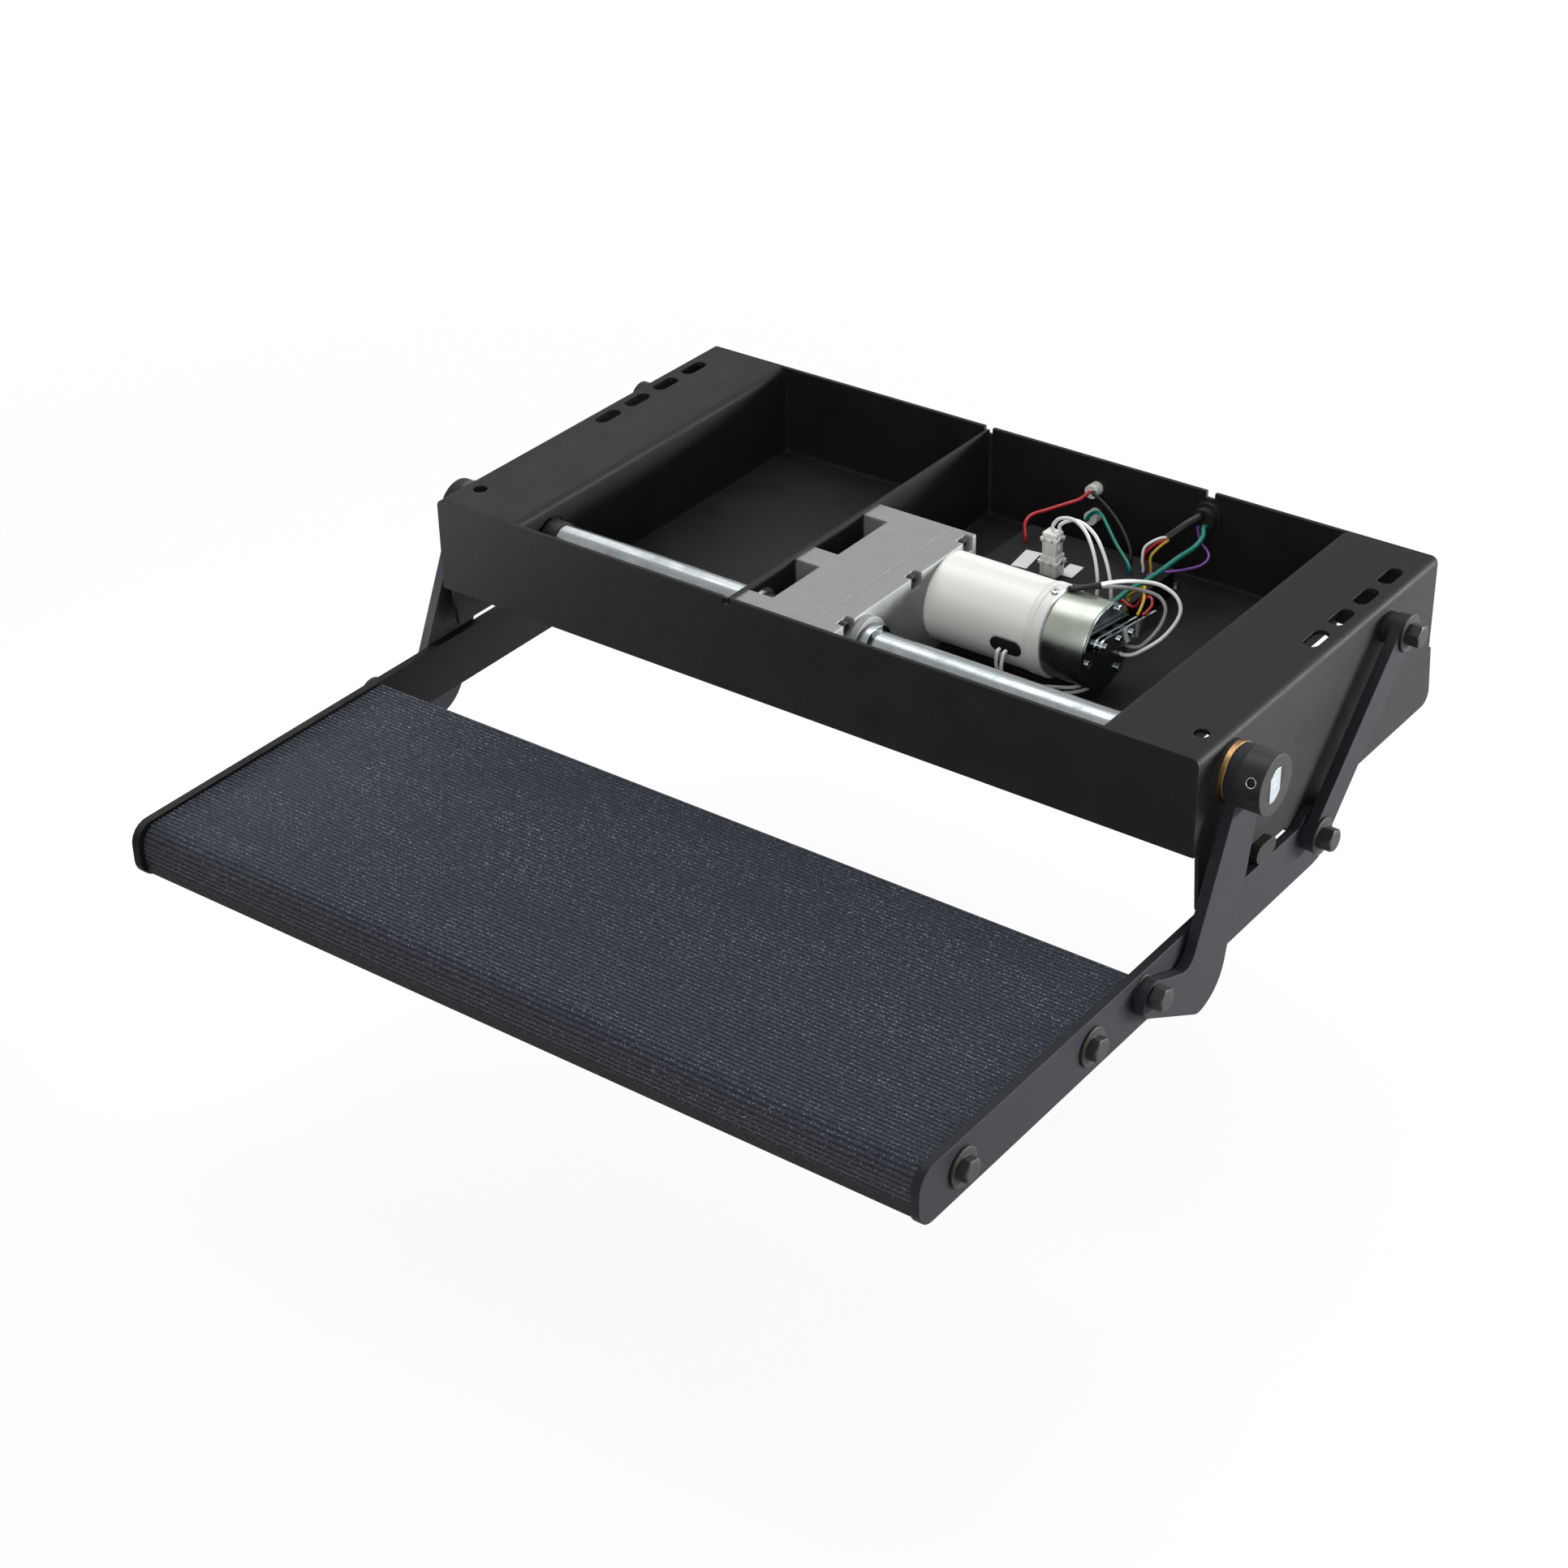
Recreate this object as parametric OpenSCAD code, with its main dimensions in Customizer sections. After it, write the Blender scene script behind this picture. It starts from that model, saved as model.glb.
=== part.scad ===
// Electric swing-out entry step: an open-topped sheet housing with a gear motor, four arms and one tread.
// The origin is on the top mounting face, midway between the two front fixing holes.
// +X is right, +Y is to the rear and +Z is up. The step is drawn with its tread out.

/* [Housing] */
// Width over the two side plates
housing_w = 610; // [560:1:700]
// Depth from the front face to the rear face
housing_d = 316; // [300:1:380]
// Height of the side plates
side_h = 114.5; // [106:0.5:130]
// Height of the front and rear plates
plate_h = 70; // [56:1:84]
// Thickness of the housing sheet
sheet = 3; // [2:0.5:4]
// Width of each top flange
flange_w = 71; // [60:1:85]
// Outer radius of the sheet bends
bend_r = 5; // [4.5:0.5:8]
// Distance of the divider plate left of the centre
divider_left = 51; // [45:1:60]
// Thickness of the divider plate
divider_t = 2.5; // [1.5:0.5:4]
// Width of the notches in the top edges
notch_w = 7; // [4:0.5:12]
// Depth of the notches in the top edges
notch_h = 5; // [3:0.5:9]
// Distance of the wiring notch right of the centre
wiring_notch_right = 133; // [100:1:180]

/* [Fixing holes] */
// Diameter of the front fixing holes
hole_d = 10.5; // [8:0.5:14]
// Distance of the front holes from the side faces
hole_edge = 15; // [12:0.5:20]
// Distance of the front holes from the front face
hole_setback = 29; // [24:1:40]
// Length of a fixing slot
slot_l = 24; // [16:1:28]
// Width of a fixing slot
slot_w = 11; // [8:0.5:14]
// Spacing of the slots
slot_pitch = 34; // [30:1:40]
// Distance of the slots from the side faces
slot_edge = 14; // [11:0.5:20]
// Distance of the last slot from the rear face
slot_rear = 42; // [30:1:60]

/* [Linkage] */
// Distance of the drive shaft behind the front face
shaft_setback = 38; // [34:1:44]
// Depth of the drive shaft below the top face
shaft_drop = 25; // [24:0.5:28]
// Distance that the front arms reach forward
link_fwd = 104; // [90:1:120]
// Distance of the rear pivots ahead of the rear face
rear_pivot_setback = 70; // [50:1:90]
// Height of the rear pivots above the drive shaft
rear_pivot_rise = 4.5; // [0:0.5:8]
// Depth of the front pivots below the top edge of the rails
pivot_inset = 14; // [11:0.5:16]
// Gap between the side plates and the arms
arm_gap = 7.5; // [7:0.5:12]

/* [Shaft] */
// Diameter of the drive shaft
shaft_d = 25; // [20:0.5:27]
// Length of the flattened shaft end across its round sides
key_l = 24; // [17:0.5:24]
// Width of the flattened shaft end across its flats
key_w = 17; // [12:0.5:19]
// Diameter of the arm hubs
hub_d = 40; // [36:1:48]
// Length of the arm hubs
hub_l = 17.5; // [14:0.5:24]
// Diameter of the set screws
set_screw_d = 7; // [5:0.5:9]

/* [Arms] */
// Thickness of the arms
arm_t = 7.5; // [6:0.5:9]
// Radius of the front arm round its pivot bolt
foot_r = 12.5; // [11.5:0.5:16]
// Width of the rear arms
rear_arm_w = 24; // [23:1:32]
// Diameter of the pivot bolts
pivot_d = 10; // [8:0.5:12]
// Width of the hexagon bolt heads across their flats
hex_af = 14.5; // [13:0.5:17]
// Height of the pivot bolt heads
hex_h = 9; // [6:0.5:10]
// Height of the tread bolt heads
tread_hex_h = 6; // [4:0.5:8]
// Diameter of the bolt washers
washer_d = 26; // [24:1:30]

/* [Tread] */
// Distance that the rails reach ahead of the front face
tread_reach = 305; // [270:1:340]
// Depth of the tread
tread_depth = 231; // [190:1:245]
// Height of the tread rails
rail_h = 40; // [36:1:48]
// Thickness of the tread rails
rail_t = 6; // [4:0.5:8]
// Gap between the side plates and the rails
rail_gap = 0.5; // [0.5:0.1:1]
// Height that the side plates reach below the top edge of the rails
rail_lap = 1; // [1:0.5:3]
// Thickness of the tread skin under its ribs
skin = 3; // [2.5:0.5:5]
// Radius of the tread nose
nose_r = 14; // [10:1:18]
// Spacing of the grip ribs
rib_pitch = 3.5; // [3:0.25:6]
// Height of the grip ribs
rib_h = 0.8; // [0.5:0.1:1.5]
// Distance of the front tread bolts behind the rail ends
tread_bolt_front = 43; // [36:1:60]
// Distance between the front and rear tread bolts
tread_bolt_pitch = 138; // [100:1:150]

/* [Gear motor] */
// Outer diameter of the motor can
motor_d = 63; // [60:0.5:64]
// Length of the motor can
motor_l = 79; // [70:1:90]
// Wall of the motor can
can_wall = 2.5; // [1.5:0.5:3]
// Length of the end ring
ring_l = 12; // [8:1:16]
// Diameter of the end ring
ring_d = 64.5; // [64:0.5:66]
// Diameter of the brake housing
brake_d = 60; // [56:1:62]
// Length of the brake housing
brake_l = 33; // [28:1:40]
// Wall of the gearbox casting
case_wall = 3; // [2.5:0.5:4]
// Depth of the pockets beside the gearbox lugs
lug_l = 20; // [16:1:24]
// Depth of the gearbox top below the top face
case_drop = 3; // [2:0.5:3]
// Thickness of the gearbox cover
cover_t = 19; // [17:1:24]

/* [Control unit] */
// Width of the control unit
unit_w = 120; // [110:1:130]
// Depth of the control unit
unit_d = 80; // [76:1:84]
// Height of the control unit
unit_h = 19; // [17:0.5:19]

/* [Hidden] */
$fn = 48;

// Clearances: running fit of a pin, push fit of a fixed pin, and the gap between moving flat faces
run_fit = 0.05;
push_fit = 0.02;
side_play = 0.2;
seat = 0.3;

// Faces of the housing
half_w = housing_w / 2;
tray_x = half_w - flange_w;
front_y = -hole_setback;
rear_y = front_y + housing_d;
shaft_hole_gap = 3;
bend_in = max(bend_r - sheet, 0.5);

// Pivots, as [y, z]
shaft_axis = [front_y + shaft_setback, -shaft_drop];
rail_top = -side_h + rail_lap;
link = [-link_fwd, rail_top - pivot_inset + shaft_drop];
rear_pivot = [rear_y - rear_pivot_setback, -shaft_drop + rear_pivot_rise];
front_foot = shaft_axis + link;
rear_foot = rear_pivot + link;
link_angle = atan2(link[1], link[0]);

// Layers outwards from a side plate
boss_t = 3.5;
boss_r = 20.5;
bush_wall = 2.5;
flange_r = 20.5;
arm_in = half_w + arm_gap;
arm_out = arm_in + arm_t;
shaft_end = arm_out + hub_l;
rail_in = half_w + rail_gap;
rail_out = rail_in + rail_t;
shaft_r = shaft_d / 2;
bush_r = shaft_r + run_fit + bush_wall;
set_screw_turn = 24;
set_screw_share = 0.58;
set_screw_in = key_l / 2 + 0.5;
shoulder_r = pivot_d / 2 + 1;
thread_r = pivot_d / 2;
washer_r = washer_d / 2;
washer_t = 2;
link_washer_r = 11;
sink_r = 9;
sink_h = 4;

// Front arm outline: points of its eye from the shaft axis
arm_eye_r = hub_d / 2;
arm_eye = [[-15.5, -12.5], [hub_d / 2 - 0.7, -5]];

// Front arm outline: corners [y, z, radius] from its foot pivot
foot_mid = [0, -3];
arm_knee = [43, -7, 12];
arm_heel = [[57, -48, 14], [83, -41.5, 30], [90, -11.5, 60], [107, 25.5, 60]];

// Tread section
tread_sink = 1.8;
nose_setback = 4;
nose_y = front_y - tread_reach + nose_setback;
back_y = nose_y + tread_depth;
crest_z = rail_top - tread_sink;
rail_bottom = rail_top - rail_h;
rail_mid = rail_top - rail_h / 2;
sole_z = rail_bottom + 5;
ear_r = 16;
rail_tail = 36;
rail_nose_r = 14;
rail_heel_r = 26;
rail_tail_r = 6;
sole_lip = 26;
tread_end = rail_in - side_play;
flat_len = tread_depth - nose_r;
arc_len = nose_r * PI / 2;
rib_run = flat_len + arc_len + crest_z - nose_r - sole_z - skin;
rib_n = floor(rib_run / rib_pitch);
tread_bolt_y = [front_y - tread_reach + tread_bolt_front,
    front_y - tread_reach + tread_bolt_front + tread_bolt_pitch];
screw_boss_r = 9;
tread_bolt_l = 30;

// Gear train, from the output back to the motor: teeth, modules and the angle of each step
final_n = [18, 19];
final_m = 2;
second_n = [30, 14];
second_m = 1.5;
fast_n = [44, 12];
fast_m = 1.25;
final_dist = (final_n[0] + final_n[1]) * final_m / 2;
second_dist = (second_n[0] + second_n[1]) * second_m / 2;
fast_dist = (fast_n[0] + fast_n[1]) * fast_m / 2;
final_turn = -14;
second_turn = -8;
fast_turn = 5;
axis_two = shaft_axis + final_dist * [cos(final_turn), sin(final_turn)];
axis_one = axis_two + second_dist * [cos(second_turn), sin(second_turn)];
motor_axis = axis_one + fast_dist * [cos(fast_turn), sin(fast_turn)];
tip = 0.8;
root = 1.15;
pin_r = 4;
gear_face = 6.5;
final_face = 9;
gear_step = 1.5;
gear_gap = 0.5;

// Housing floor, just under the widest part of the motor
floor_play = 1.25;
floor_top = motor_axis[1] - ring_d / 2 - floor_play;
floor_under = floor_top - sheet;
wall_foot = max(-plate_h, floor_under) + 2 * bend_r;

// Gear planes and gearbox faces along X
divider_x = -divider_left;
lug_x = divider_x + divider_t / 2;
case_x = lug_x + lug_l;
plane_5 = case_x + case_wall + gear_gap;
plane_4 = plane_5 + final_face + gear_step;
plane_3 = plane_4 + gear_face + gear_step;
plane_2 = plane_3 + gear_face + gear_step;
plane_1 = plane_2 + gear_face + gear_step;
seam_x = plane_1 + gear_face / 2;
cover_x = seam_x + cover_t;
cavity_x = plane_1 + gear_face + gear_gap;
pin_seat = 8;
case_top = -case_drop;
case_front = front_y + sheet + bend_in + side_play;
case_back = motor_axis[0] + fast_n[0] * fast_m / 2 + tip * fast_m + gear_gap + case_wall;
lug_w = [17.5, 21, 19];
lug_mid = case_front + 70;
pocket_y = [case_front + lug_w[0], lug_mid, lug_mid + lug_w[1], case_back - lug_w[2]];
cover_screw_y = [shaft_axis[0] - 14, axis_one[0] - 5, motor_axis[0] + 22];
cover_screw_z = case_top - 4;
cover_screw_r = 2;
cover_screw_head = 3.6;
screw_notch = 6;
shaft_boss_r = 20;
shaft_boss_l = 6;
shaft_collar_l = 12;
shaft_collar_t = 1;
case_collar_l = 7;
case_collar_t = 3.5;

// Motor and brake along X
ring_x = cover_x + motor_l;
brake_x = ring_x + ring_l;
end_x = brake_x + brake_l;
end_plate_t = 1.5;
plate_face = end_x + end_plate_t;
brake_wall = 2;
can_in = motor_d / 2 - can_wall;
magnet_t = 4;
magnet_front = 10;
magnet_rear = 14;
air_gap = 1;
armature_r = can_in - magnet_t - air_gap;
rotor_r = 4;
can_hole_r = 6;
coil_bore_r = 8;
disc_gap = 3;
spigot_l = 5;
brake_screw_ring = 26;
brake_screw_turn = 62;
brake_thread_r = 1.6;
brake_head_r = 3.2;
brake_head_h = 2.2;
brake_cross = [2.4, 4, 0.8];
grommet_x = 66;
grommet_l = 24;
grommet_w = 11;
grommet_turn = 8;

// Brake lever strips, as [y, z] from the motor axis
lever_from = [-17, 10];
lever_to = [47, 2];
lever_w = 12;
lever_t = 1.6;
lever_off = 2.5;
lever_share = 0.72;
rivet_step = [0, 18, 34];
rivet_r = 1.8;
rivet_spacer_r = 3;
rivet_head = [2.8, 1.5];

// Stop bumper on each side plate
bumper_r = 6.5;
bumper_run = 12;
bumper_setback = 84.5;
bumper_y = front_y + bumper_setback;
bumper_z = rail_top + seat + bumper_r;
bumper_out = arm_in - 1;

// Lower edges of the side plates: rake at the front, tail at the rear, relief on the left, gap on the right
edge_rake = 8;
tail_l = 8;
tail_rake = 5;
tail_r = 9;
relief_l = 72;
relief_h = 11;
gap_l = 27.5;
gap_h = 3;
gap_y = bumper_y + bumper_run / 2 + 4.5;

// Control unit, in the floor space between the gearbox and a lane for the floor screw
unit_x = 5;
unit_corner_r = 4;
screw_washer_r = 6;
screw_washer_t = 1.2;
screw_head_r = 4.2;
screw_head_h = 3;
screw_gap = 1;
screw_lane = 2 * (screw_washer_r + screw_gap);
unit_share = 0.6925;
unit_y = case_back + unit_share * (rear_y - sheet - screw_lane - unit_d - case_back);
unit_top = floor_top + unit_h;
screw_at = [118, unit_y + unit_d + screw_gap + screw_washer_r];

// Connector on the control unit: block and collar sizes, and the faces of its two halves
connector_at = [57, unit_y + 25];
connector_r = 1.5;
socket_size = [13, 13];
socket_collar = [16, 9];
socket_collar_z = unit_top + 6;
plug_size = [11.5, 11.5];
plug_collar = [14, 8];
collar_h = 3;
join_z = unit_top + 16;
plug_z = join_z + 17;
plug_collar_z = plug_z - 7;

// Clips and grommet on the rear plate
clip_x = 42;
clip_z = [-22, -43];
clip_base = [5, 2.5];
clip_neck = [3.2, 3];
clip_head = [5.2, 3.3];
harness_at = [133, -18];
harness_flange = [11, 4];
harness_nose = [8.5, 6];

// Wire routes: X, a distance and Z. The distance is behind the front face, behind the front of the
// control unit or before the rear face.
function from_front(p) = [for (q = p) [q[0], front_y + q[1], q[2]]];
function from_unit(p) = [for (q = p) [q[0], unit_y + q[1], q[2]]];
function from_rear(p) = [for (q = p) [q[0], rear_y - q[1], q[2]]];
connector_routes = [
    from_unit([[57, 25, plug_z], [57, 25, -12], [62, 26, -6], [73, 26, -4], [86, 21, -8], [97, 14, -18],
        [104, 8, -31], [106, 5, -43], [106, 5, unit_top]]),
    from_unit([[61, 28, plug_z], [61, 28, -12], [69, 30, -7], [80, 28, -6], [93, 23, -10], [105, 16, -20],
        [113, 10, -32], [116, 7, -43], [116, 7, unit_top]])];
motor_routes = [
    concat(from_front([[94, 107, -41], [94, 104, -42], [94, 103, -51], [97, 104, -59], [104, 109, -65],
        [114, 117, -67], [126, 123, -67], [139, 132, -67], [142, 150, -67]]),
        from_unit([[136, -25, -67], [118, -9, -62], [112, -3, -60], [112, 0, -60]])),
    concat(from_front([[99, 107, -41], [99, 104, -42], [100, 100, -52], [105, 101, -61], [114, 107, -66],
        [124, 114, -67], [135, 119, -67], [145, 131, -67], [148, 152, -67]]),
        from_unit([[142, -23, -67], [126, -8, -62], [119, -3, -60], [119, 0, -60]]))];
brake_routes = [
    from_front([[121.5, 147, -4], [125, 147, -4], [135, 154, -2], [143, 166, -2], [153, 179, -4],
        [167, 187, -6], [180, 188, -12], [185, 184, -22], [179, 174, -36], [167, 162, -46],
        [160, 158, -48], [156, 158, -48]]),
    from_front([[121.5, 153, -5.5], [125, 153, -5.5], [135, 162, -6], [143, 174, -9], [152, 188, -15],
        [164, 192, -18], [172, 188, -24], [172, 180, -34], [166, 169, -44], [160, 165, -45],
        [156, 165, -45]])];
red_route = concat(from_rear([[41, 12, -22], [41, 14, -22], [37, 19, -26], [30, 25, -29]]),
    from_unit([[21, 76, -32], [14, 66, -34], [13, 59, -38], [16, 55, -45], [16, 55, unit_top]]));
black_route = concat(from_rear([[45, 12, -21], [45, 14, -21], [54, 17, -23], [66, 22, -27]]),
    from_unit([[80, 81, -33], [91, 73, -41], [94, 69, -46], [94, 69, unit_top]]));
green_route = concat(
    from_rear([[41, 12, -43], [41, 15, -43], [45, 16, -37], [51, 19, -32], [59, 24, -30]]),
    from_unit([[70, 78, -33], [83, 68, -38], [97, 59, -43], [101, 56, -46], [101, 56, unit_top]]));
earth_route = concat(from_rear([[136, 13, -21], [136, 16, -21], [139, 22, -25], [138, 32, -29],
    [135, 48, -31], [133, 66, -33]]), from_unit([[132, 25, -33]]),
    from_front([[133, 206, -29], [137, 186, -25], [138, 175, -24], [138, 171, -24]]));
purple_route = concat(from_rear([[131, 13, -23], [131, 15, -23], [136, 19, -30], [147, 26, -35],
    [147, 37, -38]]), from_unit([[137, 63, -40], [122, 54, -43], [118, 51, -46], [118, 51, unit_top]]));
sensor_routes = [
    concat(from_unit([[121, 12, unit_top], [121, 12, -45], [138, 0, -40]]),
        from_front([[149, 197, -26], [157, 194, -22], [162, 187, -23], [162, 180, -25], [161, 177, -26]])),
    concat(from_unit([[122, 21, unit_top], [122, 21, -45], [140, 9, -28]]),
        from_front([[151, 195, -19], [158, 183, -18], [161, 174, -20], [161, 170, -23]]))];
sleeve_route = concat(from_rear([[131, 13, -15], [131, 17, -15], [127, 25, -18]]),
    from_unit([[119, 76, -26], [112, 69, -38], [111, 68, -45], [111, 68, unit_top]]));
wire_r = 1.3;
fine_wire_r = 1;
earth_r = 1.9;
sleeve_r = 2.6;

// Geometry helpers
function unit(v) = v / norm(v);

// Arc that rounds the corner b between its neighbours a and c
function corner_arc(a, b, c, r, n = 6) =
    let (u = unit(a - b), v = unit(c - b), half = acos(u * v) / 2)
    let (centre = b + unit(u + v) * r / sin(half), from = b + u * r / tan(half) - centre)
    let (to = b + v * r / tan(half) - centre, start = atan2(from[1], from[0]))
    let (sweep = atan2(from[0] * to[1] - from[1] * to[0], from * to))
    [for (i = [0:n]) centre + r * [cos(start + sweep * i / n), sin(start + sweep * i / n)]];

// Closed outline from corners [x, y, radius]
function rounded(p) = let (n = len(p), flat = [for (q = p) [q[0], q[1]]])
    [for (i = [0:n - 1]) each p[i][2] > 0
        ? corner_arc(flat[(i + n - 1) % n], flat[i], flat[(i + 1) % n], p[i][2])
        : [flat[i]]];

// Rectangle from the origin with round corners
function rounded_box(size, r) =
    rounded([[0, 0, r], [size[0], 0, r], [size[0], size[1], r], [0, size[1], r]]);

// Smooth curve through a list of points, with a few steps between them
function spline(p, i, t) =
    let (n = len(p) - 1, a = p[max(i - 1, 0)], b = p[i], c = p[i + 1], d = p[min(i + 2, n)])
    0.5 * (2 * b + (c - a) * t + (2 * a - 5 * b + 4 * c - d) * t * t
        + (3 * b - a - 3 * c + d) * t * t * t);
function smooth(p, steps = 2) = concat(
    [for (i = [0:len(p) - 2]) for (k = [0:steps - 1]) spline(p, i, k / steps)], [p[len(p) - 1]]);

// Frames carried along a path without twist
function tangents(p, route) = let (n = len(p) - 1, m = len(route) - 1)
    concat([unit(route[1] - route[0])], [for (i = [1:n - 1]) unit(p[i + 1] - p[i - 1])],
        [unit(route[m] - route[m - 1])]);
function carried(t, u, i = 0) = i >= len(t) ? [] :
    let (side = unit(u - t[i] * (u * t[i]))) concat([side], carried(t, side, i + 1));

// Round wire along a path
module wire(route, r, sides = 8) {
    path = smooth(route);
    along = tangents(path, route);
    side = carried(along, [0.8, 0.5, 0.3]);
    last = (len(path) - 1) * sides;
    points = [for (i = [0:len(path) - 1]) for (j = [0:sides - 1])
        path[i] + r * (cos(360 * j / sides) * side[i] + sin(360 * j / sides) * cross(along[i], side[i]))];
    walls = [for (i = [0:len(path) - 2]) for (j = [0:sides - 1])
        let (k = (j + 1) % sides, a = i * sides, b = a + sides)
        each [[a + j, b + j, b + k], [a + j, b + k, a + k]]];
    ends = [for (j = [1:sides - 2]) each [[0, j, j + 1], [last, last + j + 1, last + j]]];
    polyhedron(points, concat(walls, ends));
}

// Plate of an outline in Y and Z, standing along X
module across(x, t) {
    translate([x, 0, 0]) rotate([90, 0, 90]) linear_extrude(t) children();
}

// Round pin along X at a [y, z] place
module pin(at, x0, x1, r) {
    translate([x0, at[0], at[1]]) rotate([0, 90, 0]) cylinder(r = r, h = x1 - x0);
}

// Child on the right, or mirrored to the left
module on_side(left) {
    if (left) mirror([1, 0, 0]) children();
    else children();
}

// Child on both sides
module both_sides() {
    children();
    mirror([1, 0, 0]) children();
}

// Hexagon head along X
module hex_head(at, x, h) {
    translate([x, at[0], at[1]]) rotate([0, 90, 0]) cylinder(d = hex_af / cos(30), h = h, $fn = 6);
}

// Flattened shaft end section, long side along the arm
module key_section(gap = 0) {
    half = (key_l - key_w) / 2;
    r = key_w / 2 + gap;
    translate(shaft_axis) rotate(link_angle) {
        translate([half, 0]) circle(r);
        translate([-half, 0]) circle(r);
        square([2 * half, 2 * r], center = true);
    }
}

// Gear outline with one tooth at an angle; teeth are narrower than their gaps
module gear_section(n, m, at, angle) {
    r = n * m / 2;
    step = 360 / n;
    sides = [[-0.24, -root], [-0.09, tip], [0.09, tip], [0.24, -root]];
    translate(at) polygon([for (i = [0:n - 1]) for (s = sides)
        let (a = angle + step * (i + s[0]), q = r + m * s[1]) q * [cos(a), sin(a)]]);
}

// Wheel and pinion in one piece on a pin: the wheel's gap and the pinion's tooth face their partners
module idler(at, wheel_n, wheel_m, wheel_x, wheel_turn, pinion_n, pinion_m, pinion_x, pinion_turn,
    pinion_face) {
    hub_r = pinion_n * pinion_m / 2 - root * pinion_m;
    difference() {
        union() {
            across(wheel_x, gear_face) gear_section(wheel_n, wheel_m, at, wheel_turn + 180 / wheel_n);
            across(pinion_x, pinion_face) gear_section(pinion_n, pinion_m, at, pinion_turn);
            pin(at, pinion_x, wheel_x + gear_face / 2, hub_r);
        }
        pin(at, pinion_x - 1, wheel_x + gear_face + 1, pin_r + run_fit);
    }
}

// Housing
module top_notch(x, y) {
    translate([x - notch_w / 2, y - 1, -notch_h]) cube([notch_w, sheet + 2, notch_h + 1]);
}

module end_plate_blank() {
    translate([0, sheet, 0]) rotate([90, 0, 0]) linear_extrude(sheet)
        polygon(rounded([
            [-half_w, -plate_h, 0], [half_w, -plate_h, 0], [half_w, 0, bend_r], [-half_w, 0, bend_r]]));
}

module housing_pan() color("#1b1b1d") difference() {
    union() {
        translate([0, front_y, 0]) end_plate_blank();
        translate([0, rear_y - sheet, 0]) end_plate_blank();
        across(-tray_x, 2 * tray_x) polygon(rounded([
            [front_y, wall_foot, 0], [front_y, floor_under, bend_r],
            [rear_y, floor_under, bend_r], [rear_y, wall_foot, 0],
            [rear_y - sheet, wall_foot, 0], [rear_y - sheet, floor_top, bend_in],
            [front_y + sheet, floor_top, bend_in], [front_y + sheet, wall_foot, 0]]));
    }
    top_notch(divider_x, front_y);
    top_notch(divider_x, rear_y - sheet);
    top_notch(wiring_notch_right, rear_y - sheet);
}

module slot_cut(x, y) {
    run = slot_l - slot_w;
    for (end = [-1, 1]) translate([x, y + end * run / 2, -sheet - 1]) cylinder(d = slot_w, h = sheet + 2);
    translate([x - slot_w / 2, y - run / 2, -sheet - 1]) cube([slot_w, run, sheet + 2]);
}

module channel() color("#232325") difference() {
    union() {
        translate([0, rear_y - sheet, 0]) rotate([90, 0, 0]) linear_extrude(housing_d - 2 * sheet)
            polygon(rounded([
                [half_w, -side_h, 0], [half_w, 0, bend_r], [tray_x, 0, bend_r], [tray_x, floor_under, 0],
                [tray_x + sheet, floor_under, 0], [tray_x + sheet, -sheet, bend_in],
                [half_w - sheet, -sheet, bend_in], [half_w - sheet, -side_h, 0]]));
        across(half_w - sheet, sheet) polygon(rounded([
            [rear_y - 2 * sheet, -plate_h - seat, 0], [rear_y + tail_l - tail_rake, -plate_h - seat, 0],
            [rear_y + tail_l, -side_h, tail_r], [rear_y - 2 * sheet, -side_h, 0]]));
    }
    translate([half_w - hole_edge, 0, -sheet - 1]) cylinder(d = hole_d, h = sheet + 2);
    for (i = [0:3]) slot_cut(half_w - slot_edge, rear_y - slot_rear - i * slot_pitch);
    pin(shaft_axis, tray_x - 1, tray_x + sheet + 1, shaft_r + shaft_hole_gap);
    pin(shaft_axis, half_w - sheet - 1, half_w + 1, bush_r + push_fit);
    pin(rear_pivot, half_w - sheet - 1, half_w + 1, thread_r + push_fit);
    pin([bumper_y, bumper_z], half_w - sheet - 1, half_w + 1, bumper_r / 2 + push_fit);
    across(half_w - sheet - 1, sheet + 2) polygon([
        [front_y, -plate_h], [front_y + sheet + edge_rake / 2, -plate_h],
        [front_y + sheet + edge_rake, -side_h - 1], [front_y, -side_h - 1]]);
}

module left_channel() on_side(true) difference() {
    channel();
    translate([half_w - sheet - 1, front_y + sheet, -side_h - 1])
        cube([sheet + 2, relief_l, relief_h + 1]);
}

module right_channel() on_side(false) difference() {
    channel();
    translate([half_w - sheet - 1, gap_y, -side_h - 1]) cube([sheet + 2, gap_l, gap_h + 1]);
}

module divider_plate() color("#1b1b1d") difference() {
    translate([divider_x - divider_t / 2, front_y + sheet, floor_top])
        cube([divider_t, housing_d - 2 * sheet, -floor_top - notch_h / 4]);
    pin(shaft_axis, divider_x - divider_t, divider_x + divider_t, shaft_r + shaft_hole_gap);
    for (end = [front_y + sheet, rear_y - sheet])
        translate([0, end, floor_top]) rotate([0, 90, 0])
            cylinder(r = bend_in + push_fit, h = 4 * divider_left, center = true, $fn = 24);
}

module bearing_bosses() color("#202022") both_sides() difference() {
    pin(shaft_axis, half_w, half_w + boss_t, boss_r);
    pin(shaft_axis, half_w - 1, half_w + boss_t + 1, bush_r + push_fit);
}

module shaft_bushes() color("#a9782f") both_sides() difference() {
    union() {
        pin(shaft_axis, half_w - sheet, half_w + boss_t, bush_r);
        pin(shaft_axis, half_w + boss_t, arm_in - side_play, flange_r);
    }
    pin(shaft_axis, half_w - sheet - 1, arm_in, shaft_r + run_fit);
}

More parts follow.
